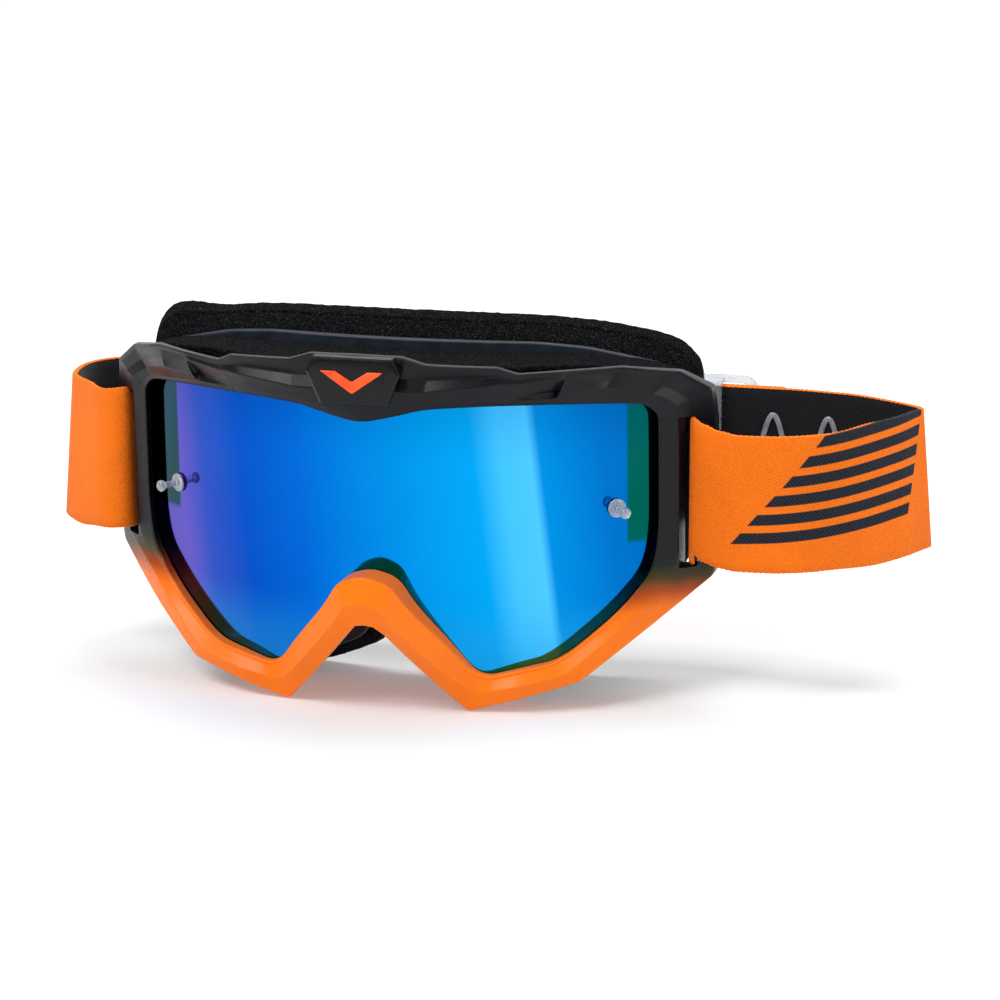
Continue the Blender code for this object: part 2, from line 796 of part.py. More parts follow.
def silicone_grip(side, name, route, group):
    """A wavy bead on the inner face of a side strap, from the rear run into its fold."""
    reach = bar_inner_x()
    path = smooth(to_rear(route, side))
    fold = mix(bar_front_y(), rear_run_y(), GRIP_FOLD_SHARE)
    chosen = [p for p in path if p.y > fold and abs(p.x) <= reach + GRIP_END]
    chosen.reverse()
    length = [0.0]
    for first, second in zip(chosen, chosen[1:]):
        length.append(length[-1] + (second - first).length)
    steps = math.ceil(length[-1] / GRIP_WAVELENGTH * 12)
    stand_off = STRAP_THICKNESS / 2 + GRIP_RADIUS + TOUCH_GAP / 2
    curve = bpy.data.curves.new(name, "CURVE")
    curve.dimensions = "3D"
    curve.bevel_depth = GRIP_RADIUS
    curve.bevel_resolution = 0
    curve.use_fill_caps = True
    spline = curve.splines.new("POLY")
    spline.points.add(steps)
    for step in range(steps + 1):
        here = length[-1] * step / steps
        index = max(i for i in range(len(length) - 1) if length[i] <= here)
        share = (here - length[index]) / (length[index + 1] - length[index])
        spot = chosen[index].lerp(chosen[index + 1], share)
        ahead = (chosen[index + 1] - chosen[index]).normalized()
        spot += Vector((ahead.y, -ahead.x)) * stand_off * side
        wave = GRIP_SWING * math.sin(2 * math.pi * here / GRIP_WAVELENGTH)
        spline.points[step].co = (spot.x, spot.y, STRAP_MIDDLE + wave, 1)
    return put(name, curve, "silicone", group)


def rounded_rectangle(width, height, radius, steps=5):
    points = []
    for corner in range(4):
        turn = math.radians(90 * corner)
        centre_x = math.copysign(width / 2 - radius, math.cos(turn + math.radians(45)))
        centre_y = math.copysign(height / 2 - radius, math.sin(turn + math.radians(45)))
        for step in range(steps + 1):
            angle = turn + math.radians(90) * step / steps
            points.append((centre_x + radius * math.cos(angle), centre_y + radius * math.sin(angle)))
    return points


def union(obj, other):
    joined = obj.modifiers.new("join", "BOOLEAN")
    joined.operation = "UNION"
    joined.object = other


def strap_adjuster(side, name, group, cutters):
    """A clear slider: a rounded ring behind the straps and a centre bar in front of them."""
    front = rear_run_y() - STRAP_THICKNESS / 2
    bar_front = front - CENTRE_BAR_GAP - CENTRE_BAR_THICKNESS
    ring_front = front + 2 * STRAP_THICKNESS + TOUCH_GAP + CENTRE_BAR_GAP
    ring_back = ring_front + ADJUSTER_THICKNESS
    outline = rounded_rectangle(ADJUSTER_WIDTH, ADJUSTER_HEIGHT, ADJUSTER_CORNER)
    opening = rounded_rectangle(
        ADJUSTER_WIDTH - 2 * ADJUSTER_RIM,
        STRAP_WIDTH + 2 * CENTRE_BAR_GAP,
        ADJUSTER_CORNER - ADJUSTER_RIM,
    )
    ring = extruded(name, [outline, opening], ADJUSTER_THICKNESS, "clear_plastic", group)
    ring.rotation_euler.x = math.radians(90)
    middle = (ring_front + ring_back) / 2
    ring.location = (side * ADJUSTER_X, middle, STRAP_MIDDLE)
    leg = (ADJUSTER_HEIGHT - STRAP_WIDTH) / 2 - 2 * CENTRE_BAR_GAP
    leg_depth = ring_back - bar_front - ADJUSTER_THICKNESS / 2
    leg_height = (STRAP_WIDTH + leg) / 2 + CENTRE_BAR_GAP
    places = (
        (leg_depth, leg, bar_front + leg_depth / 2, leg_height),
        (leg_depth, leg, bar_front + leg_depth / 2, -leg_height),
        (CENTRE_BAR_THICKNESS, 2 * leg_height, bar_front + CENTRE_BAR_THICKNESS / 2, 0),
    )
    for index, (depth, tall, y, z) in enumerate(places):
        size = (CENTRE_BAR_WIDTH, depth, tall)
        piece = as_cutter(box(f"{name}_bar_{index}", size, cutters))
        piece.location = (side * ADJUSTER_X, y, STRAP_MIDDLE + z)
        union(ring, piece)
    return ring


def stand_at_origin(objects):
    """Moves everything so that the origin is at the bottom centre of the object's box."""
    depsgraph = bpy.context.evaluated_depsgraph_get()
    corners = []
    for obj in objects:
        if obj.hide_render:
            continue
        mesh = obj.evaluated_get(depsgraph).to_mesh()
        corners += [obj.matrix_world @ vertex.co for vertex in mesh.vertices]
    low = [min(corner[axis] for corner in corners) for axis in range(3)]
    high = [max(corner[axis] for corner in corners) for axis in range(3)]
    base = bpy.data.objects.new("goggles_base", None)
    bpy.context.scene.collection.objects.link(base)
    for obj in objects:
        obj.parent = base
    base.location = (-(low[0] + high[0]) / 2, -(low[1] + high[1]) / 2, -low[2])


def main():
    for obj in list(bpy.data.objects):
        bpy.data.objects.remove(obj)
    goggles = collection("motorcycle_goggles")
    cutters = collection("cutters")
    front_frame(goggles, cutters)
    face_flange(goggles)
    brow_badge(goggles)
    sheet = lens(goggles)
    start = FLANGE_THICKNESS + TOUCH_GAP
    face_foam("face_foam_base", start, BASE_FOAM, (0, 0.4), "black_foam", goggles)
    start += BASE_FOAM + TOUCH_GAP
    face_foam("face_foam_comfort", start, COMFORT_FOAM, (0.4, 1), "black_foam", goggles)
    start += COMFORT_FOAM + TOUCH_GAP
    face_foam("face_foam_fleece", start, FLEECE, (1, 0.9), "black_fleece", goggles)
    vent_foam_top(goggles)
    straps(goggles)
    for side, word, route in ((1, "right", RIGHT_ROUTE), (-1, "left", LEFT_ROUTE)):
        tear_off_post(side, f"tear_off_post_{word}", goggles)
        post_retainer(side, f"post_retainer_{word}", goggles)
        cut(sheet, post_hole(side, f"post_hole_{word}", cutters))
        vent_foam_lower(side, f"vent_foam_lower_{word}", goggles)
        strap_adjuster(side, f"strap_adjuster_{word}", goggles, cutters)
        silicone_grip(side, f"silicone_grip_{word}", route, goggles)
    bpy.context.view_layer.update()
    stand_at_origin(list(goggles.objects) + list(cutters.objects))


main()
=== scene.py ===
"""Motorcycle goggles on a pale floor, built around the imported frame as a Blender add-on.

Lengths are written in millimetres with MM, in the goggles' own frame: X = 0 is the mirror plane, the wearer
looks along -Y, and Z = 0 is the floor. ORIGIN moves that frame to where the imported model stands.
"""

import math

import bmesh
import bpy
from mathutils import Matrix, Vector, noise


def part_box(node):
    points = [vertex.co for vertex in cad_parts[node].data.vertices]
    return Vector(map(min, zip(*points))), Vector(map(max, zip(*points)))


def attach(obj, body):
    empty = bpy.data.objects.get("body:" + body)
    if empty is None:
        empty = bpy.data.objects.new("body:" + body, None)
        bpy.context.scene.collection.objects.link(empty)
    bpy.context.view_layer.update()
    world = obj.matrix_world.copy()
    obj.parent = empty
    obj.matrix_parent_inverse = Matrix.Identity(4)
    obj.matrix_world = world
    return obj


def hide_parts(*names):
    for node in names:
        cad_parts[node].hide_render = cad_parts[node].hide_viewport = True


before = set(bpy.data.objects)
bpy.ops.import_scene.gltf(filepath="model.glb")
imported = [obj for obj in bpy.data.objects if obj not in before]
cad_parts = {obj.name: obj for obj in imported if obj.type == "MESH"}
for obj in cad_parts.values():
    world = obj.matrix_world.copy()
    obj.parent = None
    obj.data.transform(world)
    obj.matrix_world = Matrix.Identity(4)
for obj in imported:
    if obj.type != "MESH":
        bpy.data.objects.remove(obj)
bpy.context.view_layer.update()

bl_info = {
    "name": "Motorcycle Goggles",
    "version": (1, 0, 0),
    "blender": (4, 5, 0),
    "location": "View3D > Sidebar > Goggles",
    "description": "Builds a pair of motorcycle goggles with a mirrored lens and an elastic strap",
    "category": "Object",
}

MM = 0.001
HALF_WIDTH = (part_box("front_frame")[1][0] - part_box("front_frame")[0][0]) / 2
FRAME_HEIGHT = 104.5 * MM
STRAP_MIDDLE = 0.574 * FRAME_HEIGHT
SWEEP_DEPTH = 45 * MM  # how far the frame sweeps back from its centre to its sides
LEAN = 0.05  # how far the lens comes forward for each unit of height
LEAN_HEIGHT = STRAP_MIDDLE - 10 * MM
GAP = 0.3 * MM  # left between two pieces that touch

LENS_THICKNESS = 1.2 * MM
LENS_LAP = 2.0 * MM
GROOVE_DEPTH = 2.4 * MM
LIP_EDGE = 0.5 * MM
LIP = 1.6 * MM
WALL_OUTSIDE = 4.2 * MM
SLAB_BACK = 3.2 * MM

BAR_WIDTH = 4 * MM
SLOT_WIDTH = 4.4 * MM
STRAP_WIDTH = 41 * MM
STRAP_THICKNESS = 1.6 * MM

CENTRE_DEPTH = 29 * MM
SIDE_DEPTH = 3.5 * MM
FLANGE_BAND = 13 * MM
FLANGE_THICKNESS = 1.8 * MM
BASE_FOAM = 6 * MM
COMFORT_FOAM = 7 * MM
FLEECE = 1.2 * MM
FLARE_UP = 4.0 * MM
FLARE_OUT = 1.2 * MM

POST_Z = 0.5435 * FRAME_HEIGHT
POST_X = 0.848 * HALF_WIDTH - 11 * MM
REAR_END = HALF_WIDTH + 11 * MM
SIDE_STRAP_END = REAR_END - 65 * MM

WINDOW_LENGTH = 13 * MM
WINDOW_DEPTH = 11 * MM
VENT_FOAM_HEIGHT = 5 * MM
LOWER_VENT_FOAM_HEIGHT = 3 * MM
REAR_CLEARANCE = 22.5 * MM
LENS_TOP_AHEAD = 1.828 * MM  # how far the leaning lens's top edge stands before its middle

# Where the goggles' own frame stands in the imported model's.
FRAME_LOW, FRAME_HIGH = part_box("front_frame")
ORIGIN = Vector(((FRAME_LOW[0] + FRAME_HIGH[0]) / 2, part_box("lens")[0][1] + LENS_TOP_AHEAD, 0.0))

# Corners round the frame from the brow's middle down to the nose's: the aperture's x and z, the outer edge's
# x and z as shares of the half width and the height, then how proud of the lens the front stands inside and
# outside, and the outer edge's thickness, in mm.
RIM = (
    (0, 0.809, 0, 1, 10.2, 13.3, 2.5),
    (0.112, 0.830, 0.146, 0.998, 9.8, 13.7, 2.5),
    (0.200, 0.850, 0.220, 0.978, 9.6, 13.9, 2.5),
    (0.360, 0.856, 0.427, 0.971, 9.3, 15.2, 2.5),
    (0.430, 0.856, 0.483, 0.949, 9.0, 13.6, 2.5),
    (0.560, 0.853, 0.618, 0.949, 8.3, 11.8, 2.5),
    (0.697, 0.845, 0.753, 0.943, 7.1, 8.0, 3.0),
    (0.809, 0.833, 0.905, 0.909, 5.3, 3.9, 4.5),
    (0.848, 0.800, 0.989, 0.852, 4.5, 3.1, 6),
    (0.848, 0.740, 1, 0.750, 4.3, 3.2, 6),
    (0.848, 0.385, 1, 0.332, 4.3, 3.2, 6),
    (0.740, 0.260, 0.820, 0.207, 4.8, 6.5, 6),
    (0.570, 0.135, 0.639, 0.082, 4.9, 8.2, 6),
    (0.460, 0.117, 0.450, 0.037, 4.1, 5.6, 5),
    (0.335, 0.094, 0.2955, 0, 2.2, 1.6, 4),
    (0.245, 0.193, 0.165, 0.120, 5.3, 5.0, 5),
    (0.140, 0.295, 0.060, 0.225, 8.3, 8.5, 6),
    (0.085, 0.370, 0.030, 0.250, 10.1, 10.2, 6),
    (0, 0.392, 0, 0.254, 10.6, 10.4, 6),
)
RIM_ROUNDING = (0.4, 0.4, 0.07, 0.07, 0.2, 0.12, 0.2)

# The same corners round the face flange, as shares.
FACE = (
    (0, 0.986),
    (0.146, 0.986),
    (0.220, 0.986),
    (0.427, 0.984),
    (0.483, 0.981),
    (0.607, 0.971),
    (0.730, 0.947),
    (0.831, 0.923),
    (0.896, 0.872),
    (0.906, 0.772),
    (0.893, 0.383),
    (0.775, 0.230),
    (0.618, 0.091),
    (0.472, 0.033),
    (0.348, 0.033),
    (0.219, 0.067),
    (0.118, 0.105),
    (0.076, 0.163),
    (0, 0.215),
)

# The front face's relief: the place round the rim, then four ridges or recesses on the way from the aperture
# to the outer edge, each as a share of the width and a height in mm.
RELIEF = (
    (0, 0.14, 1.0, 0.30, 1.5, 0.42, 1.9, 0.62, 0.4),
    (0.85, 0.15, 1.0, 0.30, 1.5, 0.43, 2.0, 0.60, 0.0),
    (1, 0.16, 1.0, 0.30, 1.5, 0.44, 2.1, 0.64, -0.8),
    (2, 0.16, 0.9, 0.30, 1.3, 0.42, 2.1, 0.66, -1.1),
    (3, 0.16, 0.8, 0.36, 1.1, 0.56, 1.8, 0.74, -0.7),
    (3.7, 0.16, 0.7, 0.30, 0.8, 0.68, 1.4, 0.82, -0.1),
    (4, 0.16, 0.7, 0.26, 0.6, 0.70, 1.3, 0.84, 0.2),
    (5, 0.20, 0.9, 0.36, -1.4, 0.80, 1.3, 0.90, 0.4),
    (5.1, 0.20, 0.8, 0.38, 1.7, 0.74, 1.4, 0.90, 0.4),
    (6, 0.12, 0.2, 0.46, 2.9, 0.66, 1.6, 0.88, 0.2),
    (7, 0.12, 0.0, 0.34, -0.4, 0.55, -0.7, 0.88, -0.2),
    (8, 0.10, 0.3, 0.40, 1.9, 0.62, 1.7, 0.90, 0.3),
    (9, 0.10, 0.3, 0.36, 1.2, 0.60, 1.2, 0.92, 0.2),
    (10, 0.10, 0.3, 0.36, 1.2, 0.60, 1.2, 0.92, 0.2),
    (10.6, 0.07, 0.4, 0.12, 0.1, 0.44, 1.6, 0.94, 0.2),
    (12, 0.07, 0.4, 0.12, 0.0, 0.50, 2.8, 0.94, 0.3),
    (13, 0.08, 0.4, 0.13, 0.0, 0.50, 2.4, 0.94, 0.3),
    (14, 0.08, 0.4, 0.13, 0.2, 0.46, 1.0, 0.92, 0.2),
    (15, 0.06, 0.2, 0.12, 0.5, 0.54, 3.3, 0.94, 0.3),
    (16, 0.06, 0.2, 0.12, 0.6, 0.54, 3.5, 0.94, 0.3),
    (17, 0.06, 0.2, 0.12, 0.5, 0.50, 2.8, 0.94, 0.3),
    (18, 0.06, 0.2, 0.12, 0.5, 0.50, 2.6, 0.94, 0.3),
)
RIM_STEPS = (0, 0.035, 0.07, 0.12, 0.2, 0.3, 0.4, 0.5, 0.6, 0.7, 0.8, 0.88, 0.93, 0.965)
TOP_VENT_END = 7  # the rim corner where the upper vent foam stops
TOP_CROWN_END = 4.6  # where its crown begins to sink
TOP_CROWN = 98 * MM  # how high the crown reaches
LOWER_VENT = (11, 13)
TOP_WINDOW_X = (10 * MM, 28 * MM, 46 * MM)
LOWER_WINDOWS = (11.5, 12.5)

# A strap's way round its bar, as mm out from the bar and mm back from its front.
LOOP = ((4.6, 12.6), (1.5, 12.0), (-1.0, 9.9), (-1.8, 7.4), (-1.8, 2.4), (-0.8, -3.6))
RIGHT_TAIL = ((24.0, -3.2), (18.0, -3.6), (13.0, -0.6), (9.5, 5.4), (7.0, 10.4))
LEFT_TAIL = ((18.0, 15.6), (15.4, 11.6), (13.0, 8.4), (11.0, 6.4), (9.0, 7.6), (7.2, 11.2))
# From there to the rear run, as mm out from the bar and a share of the way back.
RIGHT_ROUTE = (
    (3, -0.120),
    (8, -0.131),
    (13, -0.138),
    (24, -0.121),
    (34.4, -0.017),
    (44, 0.187),
    (53, 0.483),
    (57.4, 0.698),
    (58.6, 0.770),
    (57, 0.830),
    (52, 0.871),
    (44, 0.905),
    (32, 0.953),
    (23, 0.987),
    (17, 1),
    (8, 1),
)
LEFT_ROUTE = (
    (3, -0.105),
    (7.6, -0.065),
    (13, 0.050),
    (18.5, 0.170),
    (22.8, 0.300),
    (24.9, 0.500),
    (24.8, 0.660),
    (23, 0.790),
    (19.3, 0.900),
    (13.5, 0.970),
    (6, 1),
)


def mix(a, b, share):
    return a + (b - a) * share


def ease(share):
    """A share from 0 to 1 that starts and ends gently."""
    return share * share * (3 - 2 * share)


def steps_between(start, end, count):
    return [mix(start, end, index / count) for index in range(count + 1)]


def colour(text):
    """A linear colour from an sRGB hex."""
    values = [int(text[index : index + 2], 16) / 255 for index in (0, 2, 4)]
    return tuple(v / 12.92 if v <= 0.04045 else ((v + 0.055) / 1.055) ** 2.4 for v in values)


# ---------------------------------------------------------------- the goggles' form


def sweep(x):
    return SWEEP_DEPTH * (x / HALF_WIDTH) ** 2


def sweep_slope(x):
    return 2 * SWEEP_DEPTH * x / HALF_WIDTH**2


def lens_y(x, z):
    return sweep(x) + LEAN * (LEAN_HEIGHT - z)


def lens_normal(x):
    return Vector((sweep_slope(x), -1, -LEAN)).normalized()


def face_y(x):
    return sweep(x) + mix(CENTRE_DEPTH, SIDE_DEPTH, (x / HALF_WIDTH) ** 2)


def knot(rows, index, column):
    """A corner's value, with the corners past either end mirrored back."""
    last = len(rows) - 1
    sign = -1 if column in (0, 2) and not 0 <= index <= last else 1
    if index < 0:
        index = -index
    if index > last:
        index = 2 * last - index
    return sign * rows[index][column]


def straight(rows, column, place):
    low = math.floor(place)
    return mix(knot(rows, low, column), knot(rows, low + 1, column), place - low)


def rounded(rows, column, place, half):
    """A column's value at a place between corners, each corner rounded over half to both sides."""
    near = round(place)
    if abs(place - near) >= half:
        return straight(rows, column, place)
    share = (place - near + half) / (2 * half)
    before = straight(rows, column, near - half)
    after = straight(rows, column, near + half)
    corner = knot(rows, near, column)
    return before * (1 - share) ** 2 + 2 * corner * share * (1 - share) + after * share**2


def relief(place):
    """The ridges and recesses at a place, as (share, height) pairs."""
    for here, there in zip(RELIEF, RELIEF[1:]):
        if place <= there[0] + 1e-9:
            share = (place - here[0]) / (there[0] - here[0])
            values = [mix(a, b, share) for a, b in zip(here[1:], there[1:])]
            return [(values[index], values[index + 1] * MM) for index in (0, 2, 4, 6)]
    raise ValueError(f"no relief at {place}")


class Spoke:
    """One place round the frame, looked along from the aperture's edge outwards."""

    def __init__(self, place):
        rim = [rounded(RIM, column, place, RIM_ROUNDING[column]) for column in range(7)]
        self.place = place
        self.edge = Vector((rim[0] * HALF_WIDTH, rim[1] * FRAME_HEIGHT))
        outer = Vector((rim[2] * HALF_WIDTH, rim[3] * FRAME_HEIGHT))
        self.width = (outer - self.edge).length
        self.way = (outer - self.edge).normalized()
        self.proud_inside = rim[4] * MM
        self.proud_outside = rim[5] * MM
        self.edge_thickness = rim[6] * MM
        face_x = rounded(FACE, 0, place, 0.35)
        face_z = rounded(FACE, 1, place, 0.35)
        self.face = Vector((face_x * HALF_WIDTH, face_z * FRAME_HEIGHT))
        soft = [rounded(RIM, column, place, 0.5) for column in range(4)]
        across = Vector(((soft[2] - soft[0]) * HALF_WIDTH, (soft[3] - soft[1]) * FRAME_HEIGHT))
        self.face_way = across.normalized()

    def ahead(self, out, back):
        spot = self.edge + self.way * out
        return Vector((spot.x, lens_y(spot.x, spot.y) + back, spot.y))

    def behind(self, out, depth):
        slope = sweep_slope((self.edge + self.way * out).x)
        return self.ahead(out, depth * math.hypot(1, slope))

    def before_flange(self, out, gap):
        spot = self.edge + self.way * out
        return Vector((spot.x, face_y(spot.x) - gap, spot.y))

    def on_face(self, inwards, back, flare=0.0, up=FLARE_UP, out=FLARE_OUT):
        spot = self.face - self.face_way * inwards
        spot.x += self.face_way.x * out * flare
        spot.y += self.face_way.y * up * flare
        return Vector((spot.x, face_y(spot.x) + back, max(spot.y, 0.0)))


def spokes(first=0, last=18, steps=RIM_STEPS):
    places = {index + step for index in range(first, last) for step in steps}
    places |= {row[0] for row in RELIEF if first <= row[0] <= last}
    places.add(last)
    return [Spoke(place) for place in sorted(places)]


def eased(section):
    """A section whose corners are rounded: it comes as (point, radius) pairs."""
    made = []
    for index, (point, radius) in enumerate(section):
        before = section[index - 1][0] - point
        after = section[(index + 1) % len(section)][0] - point
        if not radius:
            made.append(point)
            continue
        start = point + before.normalized() * min(radius, 0.42 * before.length)
        end = point + after.normalized() * min(radius, 0.42 * after.length)
        made += [start, (start + point * 2 + end) / 4, end]
    return made


def evenly(points, count, closed=True):
    """Points at even distances along a way through the given ones."""
    ring = [*points, points[0]] if closed else list(points)
    length = [0.0]
    for a, b in zip(ring, ring[1:]):
        length.append(length[-1] + (b - a).length)
    made = []
    index = 0
    for step in range(count if closed else count + 1):
        here = length[-1] * step / count
        while index < len(length) - 2 and length[index + 1] < here:
            index += 1
        share = (here - length[index]) / max(length[index + 1] - length[index], 1e-12)
        made.append(ring[index].lerp(ring[index + 1], share))
    return made


# ---------------------------------------------------------------- making pieces


def put(name, mesh):
    """A new object of this mesh in the goggles' own frame."""
    obj = bpy.data.objects.new(name, mesh)
    bpy.context.scene.collection.objects.link(obj)
    obj.location = ORIGIN
    return obj


def settle(obj, finishes, nodes, body="goggles"):
    """Gives a piece its finishes and its body, and hides the CAD nodes that it stands for."""
    for finish in finishes:
        obj.data.materials.append(finish)
    bpy.context.view_layer.update()
    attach(obj, body)
    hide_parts(*nodes)
    return obj


def to_mesh(name, bm, recalculate=True, flat_above=None):
    if recalculate:
        bmesh.ops.recalc_face_normals(bm, faces=bm.faces)
    for face in bm.faces:
        face.smooth = True
    mesh = bpy.data.meshes.new(name)
    bm.to_mesh(mesh)
    bm.free()
    if flat_above:
        mesh.set_sharp_from_angle(angle=math.radians(flat_above))
    return mesh


def bridge(bm, rows, closed=True):
    """Faces between each row of vertices and the next; closed rows are rings."""
    for row, following in zip(rows, rows[1:]):
        for index in range(len(row) if closed else len(row) - 1):
            after = (index + 1) % len(row)
            bm.faces.new((row[index], row[after], following[after], following[index]))


def loft(name, rings, open_start=False, open_end=False, flat_above=None):
    """A skin over rings of points, with an end cap wherever it isn't open."""
    bm = bmesh.new()
    rows = [[bm.verts.new(point) for point in ring] for ring in rings]
    bridge(bm, rows)
    if not open_start:
        bm.faces.new(rows[0])
    if not open_end:
        bm.faces.new(rows[-1])
    return to_mesh(name, bm, flat_above=flat_above)


def mirror(obj):
    modifier = obj.modifiers.new("mirror", "MIRROR")
    modifier.merge_threshold = 0.02 * MM


def even_normals(obj):
    modifier = obj.modifiers.new("even normals", "WEIGHTED_NORMAL")
    modifier.keep_sharp = True


def soft_bevel(obj, width, segments=2):
    bevel = obj.modifiers.new("soft edges", "BEVEL")
    bevel.width = width
    bevel.segments = segments
    bevel.limit_method = "ANGLE"
    bevel.angle_limit = math.radians(35)


def add_box(bm, size, place, turn=0.0):
    matrix = Matrix.Translation(place) @ Matrix.Rotation(turn, 4, "Y") @ Matrix.Diagonal((*size, 1))
    bmesh.ops.create_cube(bm, size=1.0, matrix=matrix)


def turned(name, profile, steps=40):
    """A mesh turned about Z from (radius, height) points in mm, top to bottom."""
    bm = bmesh.new()
    rings = []
    for radius, height in profile:
        if radius == 0:
            rings.append([bm.verts.new((0, 0, height * MM))])
            continue
        ring = []
        for step in range(steps):
            angle = 2 * math.pi * step / steps
            x, y = radius * MM * math.cos(angle), radius * MM * math.sin(angle)
            ring.append(bm.verts.new((x, y, height * MM)))
        rings.append(ring)
    closed = profile[0] == profile[-1]
    if closed:
        bmesh.ops.delete(bm, geom=rings.pop(), context="VERTS")
        rings.append(rings[0])
    for first, second in zip(rings, rings[1:]):
        for index in range(steps):
            after = (index + 1) % steps
            corners = [first[index % len(first)], first[after % len(first)]]
            corners += [second[after % len(second)], second[index % len(second)]]
            bm.faces.new(list(dict.fromkeys(corners)))
    return to_mesh(name, bm, flat_above=40)


def on_lens(obj, side, back):
    x = side * POST_X
    normal = lens_normal(x)
    obj.rotation_mode = "QUATERNION"
    obj.rotation_quaternion = normal.to_track_quat("Z", "Y")
    obj.location = ORIGIN + Vector((x, lens_y(x, POST_Z), POST_Z)) - normal * back


# ---------------------------------------------------------------- finishes


class Finish:
    """A material with short words for the nodes it is made of."""

    def __init__(self, name, **sockets):
        self.material = bpy.data.materials.new(name)
        self.material.use_nodes = True
        self.tree = self.material.node_tree
        self.shader = next(n for n in self.tree.nodes if n.type == "BSDF_PRINCIPLED")
        for socket, value in sockets.items():
            self.shader.inputs[socket.replace("_", " ")].default_value = value

    def node(self, kind, inputs=None, **settings):
        made = self.tree.nodes.new("ShaderNode" + kind)
        for name, value in settings.items():
            setattr(made, name, value)
        for socket, value in (inputs or {}).items():
            if hasattr(value, "is_output"):
                self.tree.links.new(value, made.inputs[socket])
            elif value is not None:
                made.inputs[socket].default_value = value
        return made

    def place(self, kind="Object"):
        return self.node("TexCoord").outputs[kind]

    def parts(self, vector):
        split = self.node("SeparateXYZ", {0: vector})
        return split.outputs[0], split.outputs[1], split.outputs[2]

    def maths(self, operation, a, b=None):
        return self.node("Math", {0: a, 1: b}, operation=operation).outputs[0]

    def span(self, value, low, high, start=0.0, end=1.0):
        inputs = {"Value": value, "From Min": low, "From Max": high, "To Min": start, "To Max": end}
        return self.node("MapRange", inputs).outputs[0]

    def soft_step(self, value, low, high):
        inputs = {"Value": value, "From Min": low, "From Max": high}
        return self.node("MapRange", inputs, interpolation_type="SMOOTHSTEP").outputs[0]

    def noise(self, vector, scale, detail=4.0, roughness=0.55):
        inputs = {"Vector": vector, "Scale": scale, "Detail": detail, "Roughness": roughness}
        return self.node("TexNoise", inputs).outputs["Fac"]

    def cells(self, vector, scale):
        return self.node("TexVoronoi", {"Vector": vector, "Scale": scale}).outputs["Distance"]

    def ramp(self, value, stops):
        made = self.node("ValToRGB", {0: value})
        elements = made.color_ramp.elements
        for index, (position, text) in enumerate(stops):
            element = elements[index] if index < 2 else elements.new(position)
            element.position = position
            element.color = (*colour(text), 1)
        return made.outputs[0]

    def blend(self, share, a, b, how="MIX"):
        made = self.node("Mix", data_type="RGBA", blend_type=how)
        for socket, value in ((made.inputs[0], share), (made.inputs[6], a), (made.inputs[7], b)):
            if hasattr(value, "is_output"):
                self.tree.links.new(value, socket)
            elif isinstance(value, str):
                socket.default_value = (*colour(value), 1)
            elif isinstance(value, (int, float)):
                socket.default_value = value
            else:
                socket.default_value = (*value[:3], 1)
        return made.outputs[2]

    def bump(self, height, distance, strength=1.0, over=None):
        inputs = {"Height": height, "Distance": distance, "Strength": strength, "Normal": over}
        return self.node("Bump", inputs).outputs[0]

    def feed(self, **sockets):
        for socket, value in sockets.items():
            self.tree.links.new(value, self.shader.inputs[socket.replace("_", " ")])
        return self.material


FADE = (
    (0.0, "FF7A0C"),
    (0.34, "F47412"),
    (0.52, "A8440E"),
    (0.68, "43340C"),
    (0.84, "0E1A12"),
    (1.0, "050708"),
)
NOSE_HALF_WIDTH = 0.034
NOSE_TOP = 0.055


def shell_finish(settings):
    """Satin moulded plastic: black above, fading through olive and rust to orange."""
    made = Finish("shell", Specular_IOR_Level=0.19)
    place = made.place()
    x, _, z = made.parts(place)
    side = made.span(made.maths("ABSOLUTE", x), 0.02, 0.085, 0.0, 0.0015)
    cloud = made.span(made.noise(place, 60.0, 2.0), 0.3, 0.7, -0.0008, 0.0008)
    height = made.maths("ADD", made.maths("SUBTRACT", z, side), cloud)
    low = made.ramp(made.span(height, settings.fade_bottom, settings.fade_top), FADE)
    nose = made.maths("LESS_THAN", made.maths("ABSOLUTE", x), NOSE_HALF_WIDTH)
    orange_nose = made.blend(nose, low, tuple(settings.shell_orange))
    fleck = made.noise(place, 2500.0, 2.0)
    upper = made.ramp(made.noise(place, 45.0, 3.0), ((0.3, "090B0F"), (0.7, "0E1116")))
    high = made.soft_step(z, 0.039, 0.043)
    above = made.soft_step(z, 0.055, 0.060)
    body = made.blend(made.maths("MAXIMUM", high, above), low, upper)
    bridge = made.maths("MULTIPLY", nose, made.maths("LESS_THAN", z, NOSE_TOP))
    body = made.blend(bridge, body, orange_nose)
    body = made.blend(made.span(fleck, 0.35, 0.65, 0.0, 0.012), body, "808080")
    grain = made.bump(made.noise(place, 5200.0, 2.0), 0.00003, 0.5)
    wave = made.bump(made.noise(place, 90.0, 2.0), 0.00012, 0.35, grain)
    rough = made.span(made.noise(place, 300.0, 3.0), 0.3, 0.7, 0.26, 0.34)
    return made.feed(Base_Color=body, Roughness=rough, Normal=wave)


def trim_finish(name, dark, light, rough):
    """Satin plastic with a fine moulded grain."""
    made = Finish(name, Specular_IOR_Level=0.26)
    place = made.place()
    body = made.ramp(made.noise(place, 180.0, 3.0), ((0.3, dark), (0.7, light)))
    grain = made.bump(made.noise(place, 4200.0, 2.0), 0.00004, 0.6)
    roughness = made.span(made.noise(place, 500.0, 3.0), 0.3, 0.7, rough - 0.05, rough + 0.05)
    return made.feed(Base_Color=body, Roughness=roughness, Normal=grain)
